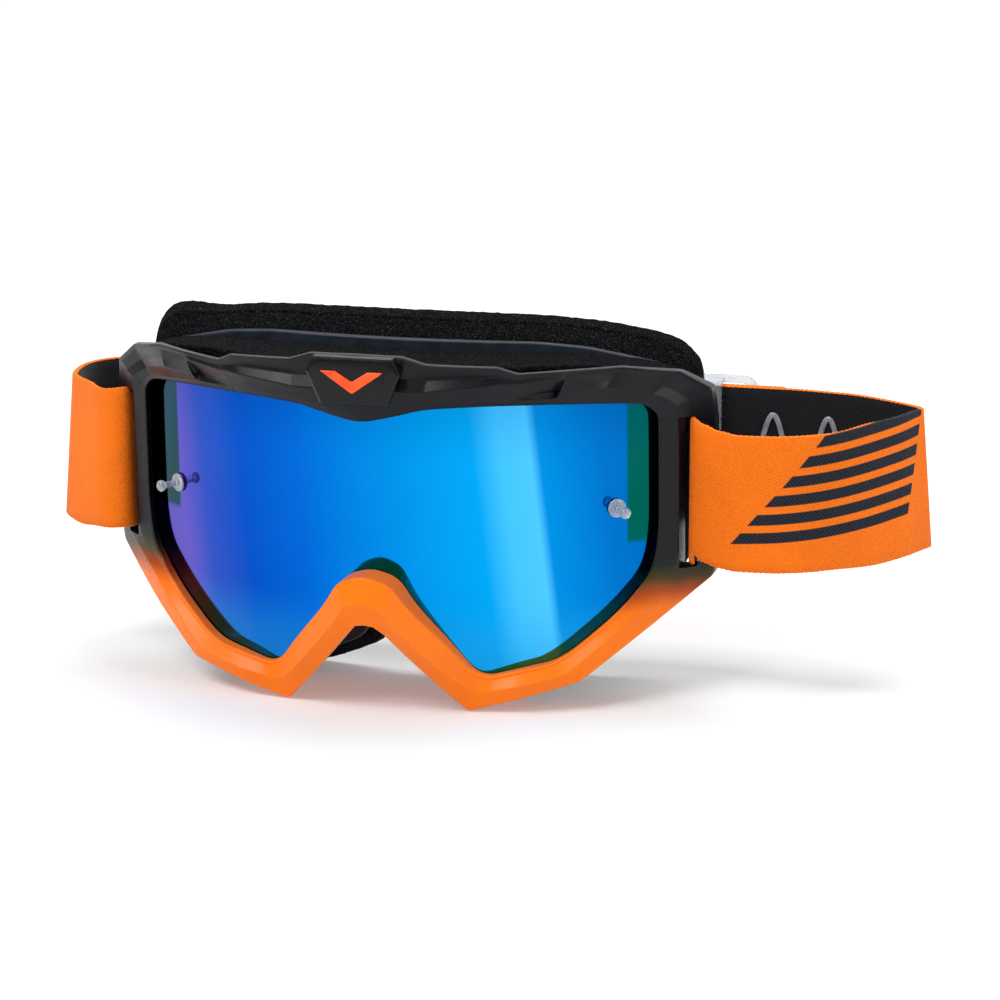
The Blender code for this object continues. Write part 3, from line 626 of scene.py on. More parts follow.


# The mirror film's colours from the lens's left end to its right, with a painted reflection in them, and the
# half width that they span.
FILM_AND_PAINTED_REFLECTION = (
    (0.0, "4A3C9C"),
    (0.09, "5B4CB0"),
    (0.15, "2848B0"),
    (0.24, "0048B4"),
    (0.36, "005AC0"),
    (0.48, "0078CC"),
    (0.60, "008CD6"),
    (0.69, "0098DE"),
    # Painted reflection: these two pale cyan stops are a light band reflected in the lens.
    (0.735, "3CB4F0"),
    (0.785, "48B8F2"),
    (0.80, "0084D0"),
    (0.90, "0068B8"),
    (1.0, "005CA4"),
)
FILM_REACH = 0.078
# Painted dark reflections at the lens's ends: where each starts in x and in z, and its colour.
LENS_END_DARK_REFLECTIONS = (((0.0668, 0.0676), (0.0455, 0.0475), "00584C"), ((-0.0640, -0.0648), (0.0485, 0.0505), "0A3C44"))


def lens_finish():
    """Blue mirror film, purple on the left through azure and cyan, with painted reflections and shade: a pale
    reflected band, dark teal reflections at the sides, painted shade at the top and a lighter painted
    reflection at the bottom.
    """
    made = Finish("mirror_film_and_painted_light", Metallic=1.0)
    place = made.place()
    x, _, z = made.parts(place)
    slanted = made.maths("ADD", x, made.maths("MULTIPLY", made.maths("SUBTRACT", z, 0.06), 0.10))
    film = made.ramp(made.span(slanted, -FILM_REACH, FILM_REACH), FILM_AND_PAINTED_REFLECTION)
    # Painted reflection: darker teal zones at the lens's ends.
    for in_x, in_z, tone in LENS_END_DARK_REFLECTIONS:
        dark_reflection = made.maths("MULTIPLY", made.soft_step(x, *in_x), made.soft_step(z, *in_z))
        film = made.blend(dark_reflection, film, tone)
    # Painted shade: the lens darkens towards navy at its top, under the brow.
    top = made.soft_step(z, 0.070, 0.092)
    film = made.blend(made.maths("MULTIPLY", top, 0.25), film, "002A6A")
    # Painted reflection: the lens turns a lighter cyan towards its bottom.
    low = made.soft_step(z, 0.034, 0.012)
    film = made.blend(made.maths("MULTIPLY", low, 0.35), film, "28A6E8")
    cloud = made.noise(place, 14.0, 2.0)
    film = made.blend(made.span(cloud, 0.35, 0.75, 0.0, 0.06), film, "30B0FF")
    ripple = made.bump(made.noise(place, 35.0, 1.0), 0.00010, 0.25)
    rough = made.span(made.noise(place, 700.0, 3.0), 0.4, 0.8, 0.06, 0.12)
    return made.feed(Base_Color=film, Roughness=rough, Normal=ripple)


def foam_finish(name, dark, light, scale):
    """Open-cell foam: painted shade darkens its pores, with paler struts between them."""
    made = Finish(name, Roughness=0.95, Specular_IOR_Level=0.06)
    place = made.place()
    pores = made.cells(place, scale)
    struts = made.noise(place, scale * 0.9, 4.0, 0.8)
    # Painted shade: the colour is darkest where the skin is lowest, in the pores.
    pore_shade_mask = made.maths("MULTIPLY", made.span(pores, 0.15, 0.6), made.span(struts, 0.42, 0.68))
    body = made.ramp(pore_shade_mask, ((0.12, dark), (0.45, "141518"), (1.0, light)))
    height = made.maths("ADD", pores, struts)
    return made.feed(Base_Color=body, Normal=made.bump(height, 0.0005, 1.0))


def fleece_finish():
    """Short black fleece."""
    made = Finish("fleece", Roughness=1.0, Specular_IOR_Level=0.1, Sheen_Weight=0.6, Sheen_Roughness=0.5)
    place = made.place()
    tufts = made.noise(place, 900.0, 5.0, 0.7)
    # Painted shade: the fleece is darker where its tufts are lower, in step with the bump.
    body = made.ramp(tufts, ((0.3, "060607"), (0.75, "1C1C20")))
    return made.feed(Base_Color=body, Normal=made.bump(tufts, 0.0006, 1.0))


def weave(made, u, v, pitch_u, pitch_v):
    """The height of a plain weave over (u, v) in metres."""
    ribs = made.maths("SINE", made.maths("MULTIPLY", u, 2 * math.pi / pitch_u))
    yarns = made.maths("SINE", made.maths("MULTIPLY", v, 2 * math.pi / pitch_v))
    return made.maths("MULTIPLY", ribs, yarns)


STRIPES_START = 0.0060  # along the strap from its bar, on the bottom edge
STRIPES_STOP = 0.0670
STRIPES_LOW, STRIPES_HIGH = 0.0052, 0.0364
STRIPE_FALL = 0.07
START_SLANT, STOP_SLANT = 0.85, 0.35
EDGE_BLUR = 0.0004


def strap_outside(name, settings, printed):
    """Woven orange elastic, with plain slanting stripes printed on it where asked."""
    made = Finish(name, Roughness=0.8, Specular_IOR_Level=0.2, Sheen_Weight=0.05, Sheen_Roughness=0.4)
    u, v, _ = made.parts(made.place("UV"))
    cloth = weave(made, u, v, 0.0011, 0.0009)
    place = made.place()
    orange = tuple(settings.strap_orange)
    shade = tuple(0.87 * part for part in orange)
    body = made.blend(made.span(made.noise(place, 40.0, 3.0), 0.3, 0.7), shade, orange)
    # Painted shade: the orange darkens towards C24400 in the weave's hollows.
    body = made.blend(made.span(cloth, -1, 1, 0.16, 0.0), body, "C24400")
    if printed:
        line = made.maths("SUBTRACT", v, made.maths("MULTIPLY", u, STRIPE_FALL))
        along = made.maths("FRACT", made.maths("DIVIDE", line, settings.stripe_pitch))
        stripe = made.maths("MULTIPLY", made.soft_step(along, 0.20, 0.26), made.soft_step(along, 0.86, 0.80))
        start = made.maths("SUBTRACT", u, made.maths("MULTIPLY", v, START_SLANT))
        stop = made.maths("SUBTRACT", u, made.maths("MULTIPLY", v, STOP_SLANT))
        started = made.soft_step(start, STRIPES_START, STRIPES_START + EDGE_BLUR)
        ends = made.maths("MULTIPLY", started, made.soft_step(stop, STRIPES_STOP, STRIPES_STOP - EDGE_BLUR))
        above = made.soft_step(line, STRIPES_LOW, STRIPES_LOW + EDGE_BLUR / 2)
        band = made.maths("MULTIPLY", above, made.soft_step(line, STRIPES_HIGH, STRIPES_HIGH - EDGE_BLUR / 2))
        shown = made.maths("MULTIPLY", made.maths("MULTIPLY", stripe, ends), band)
        twill = made.maths("SINE", made.maths("MULTIPLY", made.maths("ADD", u, v), 5200.0))
        ink = tuple(settings.stripe_ink)
        ink = made.blend(made.span(twill, -1, 1), tuple(0.3 * part for part in ink), ink)
        body = made.blend(shown, body, ink)
    height = made.maths("ADD", cloth, made.maths("MULTIPLY", made.noise(place, 1500.0, 3.0), 0.5))
    return made.feed(Base_Color=body, Normal=made.bump(height, 0.00012, 0.8))


def strap_inside():
    """Plain black weave, with painted shade in its hollows and lighter yarn crowns."""
    made = Finish("strap_inside", Roughness=0.85, Specular_IOR_Level=0.2, Sheen_Weight=0.3, Sheen_Roughness=0.4)
    u, v, _ = made.parts(made.place("UV"))
    cloth = weave(made, u, v, 0.0014, 0.0010)
    # Painted shade and light: the black is darker in the weave's hollows and lighter on its crowns.
    body = made.ramp(made.span(cloth, -1, 1), ((0.0, "08080A"), (1.0, "1E1E24")))
    return made.feed(Base_Color=body, Normal=made.bump(cloth, 0.00015, 0.8))


def clear_finish(name, tint_low, tint_high, transmission, rough):
    """Clear moulded plastic or silicone, slightly clouded."""
    made = Finish(name, Transmission_Weight=transmission, IOR=1.46, Coat_Weight=0.3, Coat_Roughness=0.05)
    place = made.place()
    body = made.ramp(made.noise(place, 220.0, 3.0), ((0.3, tint_low), (0.7, tint_high)))
    roughness = made.span(made.noise(place, 600.0, 3.0), 0.3, 0.7, rough - 0.03, rough + 0.03)
    grain = made.bump(made.noise(place, 900.0, 2.0), 0.00004, 0.4)
    return made.feed(Base_Color=body, Roughness=roughness, Normal=grain)


# ---------------------------------------------------------------- front frame and lens


def frame_section(spoke):
    """The frame's closed section: its front with the relief, its outer edge, its walls and the lens groove."""
    width = spoke.width
    front = [(spoke.ahead(0, -spoke.proud_inside), 0.7 * MM)]
    for share, height in relief(spoke.place):
        proud = mix(spoke.proud_inside, spoke.proud_outside, share) + height
        front.append((spoke.ahead(width * share, -proud), 0.35 * MM))
    groove_back = LENS_THICKNESS + GAP
    back = [
        (spoke.ahead(width, -spoke.proud_outside), 0.9 * MM),
        (spoke.ahead(width, spoke.edge_thickness - spoke.proud_outside), 0.5 * MM),
        (spoke.ahead(WALL_OUTSIDE, SLAB_BACK), 0.5 * MM),
        (spoke.before_flange(WALL_OUTSIDE, GAP), 0.3 * MM),
        (spoke.before_flange(GROOVE_DEPTH, GAP), 0.3 * MM),
        (spoke.behind(GROOVE_DEPTH, groove_back + 2 * LIP), 0),
        (spoke.behind(LIP_EDGE, groove_back + LIP), 0),
        (spoke.behind(LIP_EDGE, groove_back), 0),
        (spoke.behind(GROOVE_DEPTH, groove_back), 0),
        (spoke.behind(GROOVE_DEPTH, -GAP), 0),
        (spoke.behind(0, -GAP), 0.2 * MM),
    ]
    return eased(front + back)


def window_place(spoke):
    """The middle of a vent window through the frame's wall."""
    inside = spoke.ahead(WALL_OUTSIDE / 2, SLAB_BACK + LIP)
    behind = spoke.before_flange(WALL_OUTSIDE / 2, LIP)
    return (inside + behind) / 2


def frame_openings():
    """One mesh with the strap slots and the vent windows, for both sides."""
    bm = bmesh.new()
    top = spokes(0, TOP_VENT_END)
    windows = [min(top, key=lambda s: abs(s.edge.x - x)) for x in TOP_WINDOW_X]
    windows += [Spoke(place) for place in LOWER_WINDOWS]
    for side in (1, -1):
        x = side * (HALF_WIDTH - BAR_WIDTH - SLOT_WIDTH / 2)
        place = Vector((x, sweep(x), STRAP_MIDDLE))
        add_box(bm, (SLOT_WIDTH, SWEEP_DEPTH, STRAP_WIDTH + 3 * MM), place)
        for spoke in windows:
            place = window_place(spoke)
            place.x *= side
            turn = side * math.atan2(spoke.way.x, spoke.way.y)
            add_box(bm, (WINDOW_LENGTH, WINDOW_DEPTH, 4 * WALL_OUTSIDE), place, turn)
    mesh = bpy.data.meshes.new("frame_openings")
    bm.to_mesh(mesh)
    bm.free()
    cutter = bpy.data.objects.new("frame_openings", mesh)
    bpy.context.scene.collection.objects.link(cutter)
    cutter.location = ORIGIN
    return cutter


def bake_modifiers(obj):
    """Applies a piece's modifiers to its mesh."""
    depsgraph = bpy.context.evaluated_depsgraph_get()
    mesh = bpy.data.meshes.new_from_object(obj.evaluated_get(depsgraph))
    obj.modifiers.clear()
    obj.data = mesh


class GOGGLES_OT_front_frame(bpy.types.Operator):
    """Builds the moulded front frame"""

    bl_idname = "goggles.front_frame"
    bl_label = "Front frame"

    def execute(self, context):
        rings = [frame_section(spoke) for spoke in spokes()]
        obj = put("front_frame_shell", loft("front_frame_shell", rings, True, True, 50))
        mirror(obj)
        cutter = frame_openings()
        cut = obj.modifiers.new("openings", "BOOLEAN")
        cut.operation = "DIFFERENCE"
        cut.solver = "EXACT"
        cut.object = cutter
        bake_modifiers(obj)
        bpy.data.objects.remove(cutter)
        obj.data.set_sharp_from_angle(angle=math.radians(50))
        even_normals(obj)
        settle(obj, [shell_finish(context.scene.goggles)], ["front_frame"])
        return {"FINISHED"}


def lens_bounds():
    """The lens's upper and lower edges for x >= 0, as (x, z) points in order of x."""
    points = [spoke.edge + spoke.way * LENS_LAP for spoke in spokes()]
    side = max(range(len(points)), key=lambda index: points[index].x)
    return points[: side + 1], points[side:][::-1], points[side].x - GAP


def height_at(points, x):
    """The height at x on an edge given by (x, z) points."""
    for a, b in zip(points, points[1:]):
        if a.x <= x <= b.x and b.x > a.x:
            return mix(a.y, b.y, (x - a.x) / (b.x - a.x))
    return points[-1].y


LENS_COLUMNS, LENS_ROWS = 80, 36


class GOGGLES_OT_lens(bpy.types.Operator):
    """Builds the mirrored lens, bent to the frame"""

    bl_idname = "goggles.lens"
    bl_label = "Lens"

    def execute(self, context):
        upper, lower, reach = lens_bounds()
        bm = bmesh.new()
        rows = []
        for x in steps_between(0, reach, LENS_COLUMNS):
            heights = steps_between(height_at(lower, x), height_at(upper, x), LENS_ROWS)
            rows.append([bm.verts.new((x, lens_y(x, z), z)) for z in heights])
        for row, following in zip(rows, rows[1:]):
            for index in range(len(row) - 1):
                bm.faces.new((row[index], following[index], following[index + 1], row[index + 1]))
        obj = put("lens_sheet", to_mesh("lens_sheet", bm))
        mirror(obj)
        thicken = obj.modifiers.new("thickness", "SOLIDIFY")
        thicken.thickness = LENS_THICKNESS
        thicken.offset = -1
        bake_modifiers(obj)
        obj.data.set_sharp_from_angle(angle=math.radians(40))
        settle(obj, [lens_finish()], ["lens"])
        return {"FINISHED"}


# ---------------------------------------------------------------- badge and posts

BADGE_WIDTH = 26 * MM
BADGE_HEIGHT = 14 * MM
BADGE_TILT = 5  # degrees that its top leans forward
PLATE_LAYERS = ((1, -1.8), (1, 0.7), (0.93, 1.35), (0.84, 1.6))
PLATE_AHEAD = 1.2 * MM
CHEVRON_WIDTH = 18 * MM
CHEVRON_ARM = 4.4 * MM
CHEVRON_HEIGHT = 6.4 * MM
CHEVRON_DROP = 3.6 * MM
CHEVRON_LAYERS = ((1, 0), (1, 1.0))
CHEVRON_AHEAD = 2.53 * MM


def badge_frame(ahead):
    """The badge's place: its origin is at the middle of its top edge, and Z points ahead."""
    top = FRAME_HEIGHT - GAP
    front = lens_y(0, top) - RIM[0][5] * MM
    tilt = Matrix.Rotation(math.radians(90 + BADGE_TILT), 4, "X")
    place = Vector((0, front, top)) + (tilt @ Vector((0, 0, ahead, 1))).to_3d()
    return Matrix.Translation(place) @ tilt


def stacked(name, outline, middle, layers, bevel):
    """A flat piece from its outline in m; each layer is a share of the outline's size and a height in mm."""
    bm = bmesh.new()
    rings = []
    for share, height in layers:
        points = [middle + (Vector(point) - middle) * share for point in outline]
        rings.append([bm.verts.new((p.x, p.y, height * MM)) for p in points])
    bridge(bm, rings)
    bm.faces.new(rings[0])
    bm.faces.new(rings[-1])
    obj = put(name, to_mesh(name, bm, flat_above=20))
    soft_bevel(obj, bevel)
    return obj


class GOGGLES_OT_badge(bpy.types.Operator):
    """Builds the brow's badge plate and its plain chevron"""

    bl_idname = "goggles.badge"
    bl_label = "Badge"

    def execute(self, context):
        half, tall = BADGE_WIDTH / 2, BADGE_HEIGHT
        outline = [(-0.86 * half, 0), (0.86 * half, 0), (1.04 * half, -0.3 * tall), (0.74 * half, -0.96 * tall)]
        outline += [(-0.74 * half, -0.96 * tall), (-1.04 * half, -0.3 * tall)]
        plate = stacked("badge_plate", outline, Vector((0, -tall / 2)), PLATE_LAYERS, 0.22 * MM)
        plate.matrix_world = Matrix.Translation(ORIGIN) @ badge_frame(PLATE_AHEAD)
        finish = trim_finish("badge", "040405", "08080A", 0.28)
        settle(plate, [finish], ["brow_badge_plate"])
        half, arm, tall, top = CHEVRON_WIDTH / 2, CHEVRON_ARM, CHEVRON_HEIGHT, -CHEVRON_DROP
        outline = [(-half, top), (-half + arm, top), (0, top - 0.46 * tall), (half - arm, top), (half, top)]
        outline.append((0, top - tall))
        emblem = stacked("badge_chevron", outline, Vector((0, 0)), CHEVRON_LAYERS, 0.4 * MM)
        emblem.matrix_world = Matrix.Translation(ORIGIN) @ badge_frame(CHEVRON_AHEAD)
        finish = trim_finish("chevron", "F04A14", "FF6022", 0.35)
        settle(emblem, [finish], ["brow_badge_emblem"])
        return {"FINISHED"}


# A post's (radius, height) from its knob to its foot behind the lens, and a retainer's round its hole, in mm.
POST_PROFILE = (
    (0, 7.5),
    (0.9, 7.42),
    (1.4, 7.15),
    (1.65, 6.75),
    (1.65, 6.2),
    (1.5, 5.85),
    (1.2, 5.6),
    (1.0, 5.2),
    (0.95, 4.0),
    (0.95, 2.0),
    (1.05, 1.4),
    (1.3, 1.15),
    (2.3, 1.08),
    (2.6, 0.95),
    (2.7, 0.7),
    (2.6, 0.42),
    (2.4, 0.3),
    (1.0, 0.3),
    (1.0, -2.7),
    (0, -2.7),
)
RETAINER_PROFILE = ((1.3, 0), (2.2, 0), (2.4, -0.2), (2.4, -1.0), (2.2, -1.2), (1.3, -1.2), (1.3, 0))


class GOGGLES_OT_posts(bpy.types.Operator):
    """Builds the clear tear-off posts and the retainers behind the lens"""

    bl_idname = "goggles.posts"
    bl_label = "Tear-off posts"

    def execute(self, context):
        clear = clear_finish("clear_post", "DCE6EE", "F4F8FC", 0.75, 0.12)
        grey = trim_finish("retainer", "6E747C", "8A9098", 0.4)
        for side, word in ((1, "right"), (-1, "left")):
            post = put(f"post_{word}", turned(f"post_{word}", POST_PROFILE))
            on_lens(post, side, 0)
            settle(post, [clear], [f"tear_off_post_{word}"])
            ring = put(f"retainer_{word}", turned(f"retainer_{word}", RETAINER_PROFILE))
            on_lens(ring, side, LENS_THICKNESS + GAP)
            settle(ring, [grey], [f"post_retainer_{word}"])
        return {"FINISHED"}


# ---------------------------------------------------------------- flange and foams

FOAM_STEPS = tuple(index / 16 for index in range(16))
FOAM_LUMP = 1.9  # size in mm of the roughness of foam's skin
FINER_SHARE, FINER_SCALE = 0.6, 2.3
# The foam swells at its upper corners: where round the rim, how far to both sides, and how much on the right.
CORNER_PLACE, CORNER_REACH, RIGHT_CORNER = 7.4, 2.3, 0.15
CORNER_UP = 6.1 * MM
CORNER_OUT = 3.9 * MM


def fuzz(points, normals, size, amount, seed):
    """Points moved along their normals by two octaves of noise."""
    made = []
    for point, normal in zip(points, normals):
        spot = point / (size * MM) + Vector((seed, seed, seed))
        lift = noise.noise(spot) + FINER_SHARE * noise.noise(spot * FINER_SCALE)
        made.append(point + normal * lift * amount * MM)
    return made


def foam_rings(sections, count, amount, seed):
    """Even rings of foam whose skin is roughened; sections are closed, with (point, radius) corners."""
    rings = []
    for section in sections:
        points = evenly(eased(section), count)
        middle = sum(points, Vector()) / len(points)
        normals = [(point - middle).normalized() for point in points]
        rough = fuzz(points, normals, FOAM_LUMP, amount, seed)
        rings.append([Vector((p.x, p.y, max(p.z, 0.0))) for p in rough])
    return rings


def face_ring(start, thickness, flares, radii, side=1):
    """Sections round half of a foam layer; it is squarer behind the upper left corner than the right."""
    sections = []
    for spoke in spokes(steps=FOAM_STEPS):
        corner = max(0.0, 1 - abs(spoke.place - CORNER_PLACE) / CORNER_REACH)
        corner = ease(corner) * (1.0 if side < 0 else RIGHT_CORNER)
        up = FLARE_UP + CORNER_UP * corner
        out = FLARE_OUT + CORNER_OUT * corner
        sections.append(
            [
                (spoke.on_face(FLANGE_BAND, start), radii[0]),
                (spoke.on_face(0, start, flares[0], up, out), radii[0]),
                (spoke.on_face(0, start + thickness, flares[1], up, out), radii[1]),
                (spoke.on_face(FLANGE_BAND, start + thickness), radii[1]),
            ]
        )
    return sections


def ring_foam(name, layer, count, amount, seed, finish, nodes):
    """A closed ring of foam; layer gives face_ring's values."""
    right = face_ring(*layer, side=1)
    left = face_ring(*layer, side=-1)[-2:0:-1]
    left = [[(Vector((-p.x, p.y, p.z)), radius) for p, radius in section] for section in left]
    bm = bmesh.new()
    rows = [[bm.verts.new(point) for point in ring] for ring in foam_rings(right + left, count, amount, seed)]
    rows.append(rows[0])
    bridge(bm, rows)
    obj = put(name, to_mesh(name, bm))
    settle(obj, [finish], nodes)
    return obj


def mirrored_foam(name, sections, count, amount, seed, finish, nodes):
    """A strip of foam that crosses the middle, made as its right half."""
    rings = foam_rings(sections, count, amount, seed)
    for ring in (rings[0], rings[-1]):
        for point in ring:
            if abs(point.x) < 0.6 * MM:
                point.x = 0.0
    obj = put(name, loft(name, rings, True, abs(rings[-1][0].x) < 1e-9))
    mirror(obj)
    bake_modifiers(obj)
    settle(obj, [finish], nodes)
    return obj


class GOGGLES_OT_flange(bpy.types.Operator):
    """Builds the dark ring behind the frame that carries the foam"""

    bl_idname = "goggles.flange"
    bl_label = "Face flange"

    def execute(self, context):
        rings = []
        for spoke in spokes(steps=FOAM_STEPS):
            rings.append(
                eased(
                    [
                        (spoke.on_face(FLANGE_BAND, 0), 0.4 * MM),
                        (spoke.on_face(2.4 * MM, 0), 0.5 * MM),
                        (spoke.on_face(2.0 * MM, FLANGE_THICKNESS), 0.5 * MM),
                        (spoke.on_face(FLANGE_BAND, FLANGE_THICKNESS), 0.4 * MM),
                    ]
                )
            )
        obj = put("face_flange_ring", loft("face_flange_ring", rings, True, True, 50))
        mirror(obj)
        even_normals(obj)
        finish = trim_finish("flange", "181D26", "262D38", 0.42)
        settle(obj, [finish], ["face_flange"])
        return {"FINISHED"}


class GOGGLES_OT_face_foam(bpy.types.Operator):
    """Builds the three layers of face foam"""

    bl_idname = "goggles.face_foam"
    bl_label = "Face foam"

    def execute(self, context):
        firm = foam_finish("firm_foam", "020202", "48484E", 2000.0)
        soft = foam_finish("soft_foam", "020202", "4C4C52", 1900.0)
        start = FLANGE_THICKNESS + GAP
        base = (start, BASE_FOAM, (-0.62, 0.55), (1.2 * MM, 0.3 * MM))
        ring_foam("foam_base", base, 36, 0.16, 3.1, firm, ["face_foam_base"])
        start += BASE_FOAM + GAP
        comfort = (start, COMFORT_FOAM, (0.58, 1.0), (0.3 * MM, 1.2 * MM))
        ring_foam("foam_comfort", comfort, 40, 0.2, 7.7, soft, ["face_foam_comfort"])
        start += COMFORT_FOAM + GAP
        fleece = (start, FLEECE, (0.8, 0.7), (0.5 * MM, 0.5 * MM))
        ring_foam("foam_fleece", fleece, 40, 0.08, 1.3, fleece_finish(), ["face_foam_fleece"])
        return {"FINISHED"}


def vent_section(spoke, height):
    """A vent foam's section, on the frame's wall and as high as asked."""
    inside, front = WALL_OUTSIDE + GAP, SLAB_BACK + GAP
    return [
        (spoke.ahead(inside, front), 0.6 * MM),
        (spoke.ahead(inside + height, front), 0.6 * MM),
        (spoke.before_flange(inside + height, GAP), 0.6 * MM),
        (spoke.before_flange(inside, GAP), 0.6 * MM),
    ]


class GOGGLES_OT_vent_foam(bpy.types.Operator):
    """Builds the foam strips over the vent windows"""

    bl_idname = "goggles.vent_foam"
    bl_label = "Vent foams"

    def execute(self, context):
        finish = foam_finish("vent_foam", "020202", "46464C", 1800.0)
        top = []
        for spoke in spokes(0, TOP_VENT_END, FOAM_STEPS):
            crown = max(VENT_FOAM_HEIGHT, (TOP_CROWN - spoke.edge.y) / spoke.way.y - WALL_OUTSIDE - GAP)
            sunk = min(1, max(0, spoke.place - TOP_CROWN_END))
            top.append(vent_section(spoke, mix(crown, VENT_FOAM_HEIGHT, sunk)))
        mirrored_foam("vent_strip_top", top, 44, 0.2, 5.5, finish, ["vent_foam_top"])
        for side, word in ((1, "right"), (-1, "left")):
            sections = [vent_section(s, LOWER_VENT_FOAM_HEIGHT) for s in spokes(*LOWER_VENT, FOAM_STEPS)]
            rings = foam_rings(sections, 40, 0.15, 2.2)
            rings = [[Vector((side * p.x, p.y, p.z)) for p in ring] for ring in rings]
            name = f"vent_strip_{word}"
            obj = put(name, loft(name, rings))
            settle(obj, [finish], [f"vent_foam_lower_{word}"])
        return {"FINISHED"}


# ---------------------------------------------------------------- straps

BAR_X = HALF_WIDTH - BAR_WIDTH
BAR_FRONT = sweep(BAR_X) - RIM[9][4] * MM
FOAM_DEPTH = FLANGE_THICKNESS + BASE_FOAM + COMFORT_FOAM + FLEECE + 3 * GAP
REAR_RUN = face_y(FACE[9][0] * HALF_WIDTH) + FOAM_DEPTH + REAR_CLEARANCE
CURVE_STEPS = 8
STRAP_STEP = 0.7 * MM
STRAP_ROWS = 14
SCALLOP = 0.10 * MM
SCALLOP_PITCH = 1.6 * MM


def near_bar(points, side):
    """Places in plan from mm out from the bar and mm back from its front."""
    return [Vector((side * (BAR_X + out * MM), BAR_FRONT + back * MM)) for out, back in points]


def to_rear(points, side):
    """Places in plan from mm out from the bar and a share of the way to the rear run."""
    return [Vector((side * (BAR_X + out * MM), mix(BAR_FRONT, REAR_RUN, share))) for out, share in points]


def smooth(points, steps=CURVE_STEPS):
    """Points on a Catmull-Rom curve through the given ones."""
    ends = [points[0] * 2 - points[1], *points, points[-1] * 2 - points[-2]]
    made = []
    for index in range(1, len(ends) - 2):
        a, b, c, d = ends[index - 1 : index + 3]
        for step in range(steps):
            t = step / steps
            curve = 2 * b + (c - a) * t + (2 * a - 5 * b + 4 * c - d) * t**2
            made.append(0.5 * (curve + (3 * b - a - 3 * c + d) * t**3))
    made.append(points[-1].copy())
    return made


def strap_way(side, tail, route):
    """A side strap's way in plan, from its tail round its bar to its end on the rear run."""
    curved = smooth(near_bar((*tail, *LOOP), side) + to_rear(route, side))
    return curved + [Vector((side * SIDE_STRAP_END, REAR_RUN))]


def heading(points, index):
    """The direction of a way at one of its points."""
    return (points[min(index + 1, len(points) - 1)] - points[max(index - 1, 0)]).normalized()


def way_length(way):
    return sum((b - a).length for a, b in zip(way, way[1:]))


def strap_mesh(name, way, outer, edges, start):
    """A strap along a way in plan: its outer face orange, its inner face black, and its edges stitched in
    small scallops. edges gives the bottom's and the top's shift in mm at a distance past start."""
    half = STRAP_THICKNESS / 2
    count = math.ceil(way_length(way) / STRAP_STEP)
    points = evenly(way, count, closed=False)
    step = way_length(way) / count
    low_edge, high_edge = STRAP_MIDDLE - STRAP_WIDTH / 2, STRAP_MIDDLE + STRAP_WIDTH / 2
    rows = STRAP_ROWS
    section = [(half, share, 0.0) for share in steps_between(0, 1, rows)]
    section += [(0.45 * half, 1, 0.3), (-0.45 * half, 1, 0.3)]
    section += [(-half, share, 0.0) for share in steps_between(1, 0, rows)]
    section += [(-0.45 * half, 0, -0.3), (0.45 * half, 0, -0.3)]
    bm = bmesh.new()
    uv = bm.loops.layers.uv.new("weave")
    rings, flats = [], []
    for index, point in enumerate(points):
        along = index * step
        ahead = heading(points, index)
        normal = Vector((ahead.y, -ahead.x)) * outer
        low, high, lean = edges(along - start)
        scallop = SCALLOP * math.sin(2 * math.pi * along / SCALLOP_PITCH)
        bottom, top = low_edge + low * MM, high_edge + high * MM
        ring, flat = [], []
        for out, share, past in section:
            edge = 1 if share in (0, 1) else 0
            z = mix(bottom, top, share) + past * MM + edge * scallop * (1 if share else -1)
            past_middle = out + lean * MM * (1 - 2 * share)
            ring.append(bm.verts.new((point.x + normal.x * past_middle, point.y + normal.y * past_middle, z)))
            flat.append((along - start, z - low_edge))
        rings.append(ring)
        flats.append(flat)
    size = len(section)
    for index in range(count):
        for at in range(size):
            after = (at + 1) % size
            corners = ((index, at), (index, after), (index + 1, after), (index + 1, at))
            face = bm.faces.new([rings[i][j] for i, j in corners])
            face.material_index = 1 if rows + 3 <= at < 2 * rows + 3 else 0
            for loop, (i, j) in zip(face.loops, corners):
                loop[uv].uv = flats[i][j]
    bm.faces.new(rings[0])
    bm.faces.new(rings[-1])
    return to_mesh(name, bm)


def table_value(rows, x):
    """The values at x in (x, value, ...) rows, eased from each row to the next."""
    if x <= rows[0][0]:
        return rows[0][1:]
    for a, b in zip(rows, rows[1:]):
        if x <= b[0]:
            share = (x - a[0]) / (b[0] - a[0])
            return [mix(u, v, ease(share)) for u, v in zip(a[1:], b[1:])]
    return rows[-1][1:]


# Distance past the bar in mm, then how far the strap's bottom and top edges are moved there, and how far it
# leans out at the bottom, in mm.
RIGHT_EDGES = (
    (-30, 4, -9.5, 0),
    (-16, 2, -7.5, 0),
    (-9, -1.0, -3.5, 0),
    (-4, -1.0, 0.0, 0),
    (-1, 2.6, 0.8, 0),
    (1, 3.6, 0.6, 0),
    (4, 1.6, -0.6, 0),
    (9, 0.2, -2.2, 0),
    (14, -0.4, -3.0, 0),
    (40, -0.3, -2.8, 0.3),
    (58, -0.9, -1.8, 1.2),
    (80, -0.4, -1.6, 1.6),
    (110, 0, 0, 0),
)
LEFT_EDGES = (
    (-30, 4, -7.5, 0),
    (-16, 3, -6, 0),
    (-9, 1.0, -3.5, 0),
    (-3, 0.6, 0.4, 0),
    (0, 1.0, 1.0, 0),
    (8, 0.6, 0.2, 0.4),
    (20, -0.6, 0.4, 1.4),
    (40, 0.0, 0.4, 1.4),
    (70, 0, 0, 0),
)


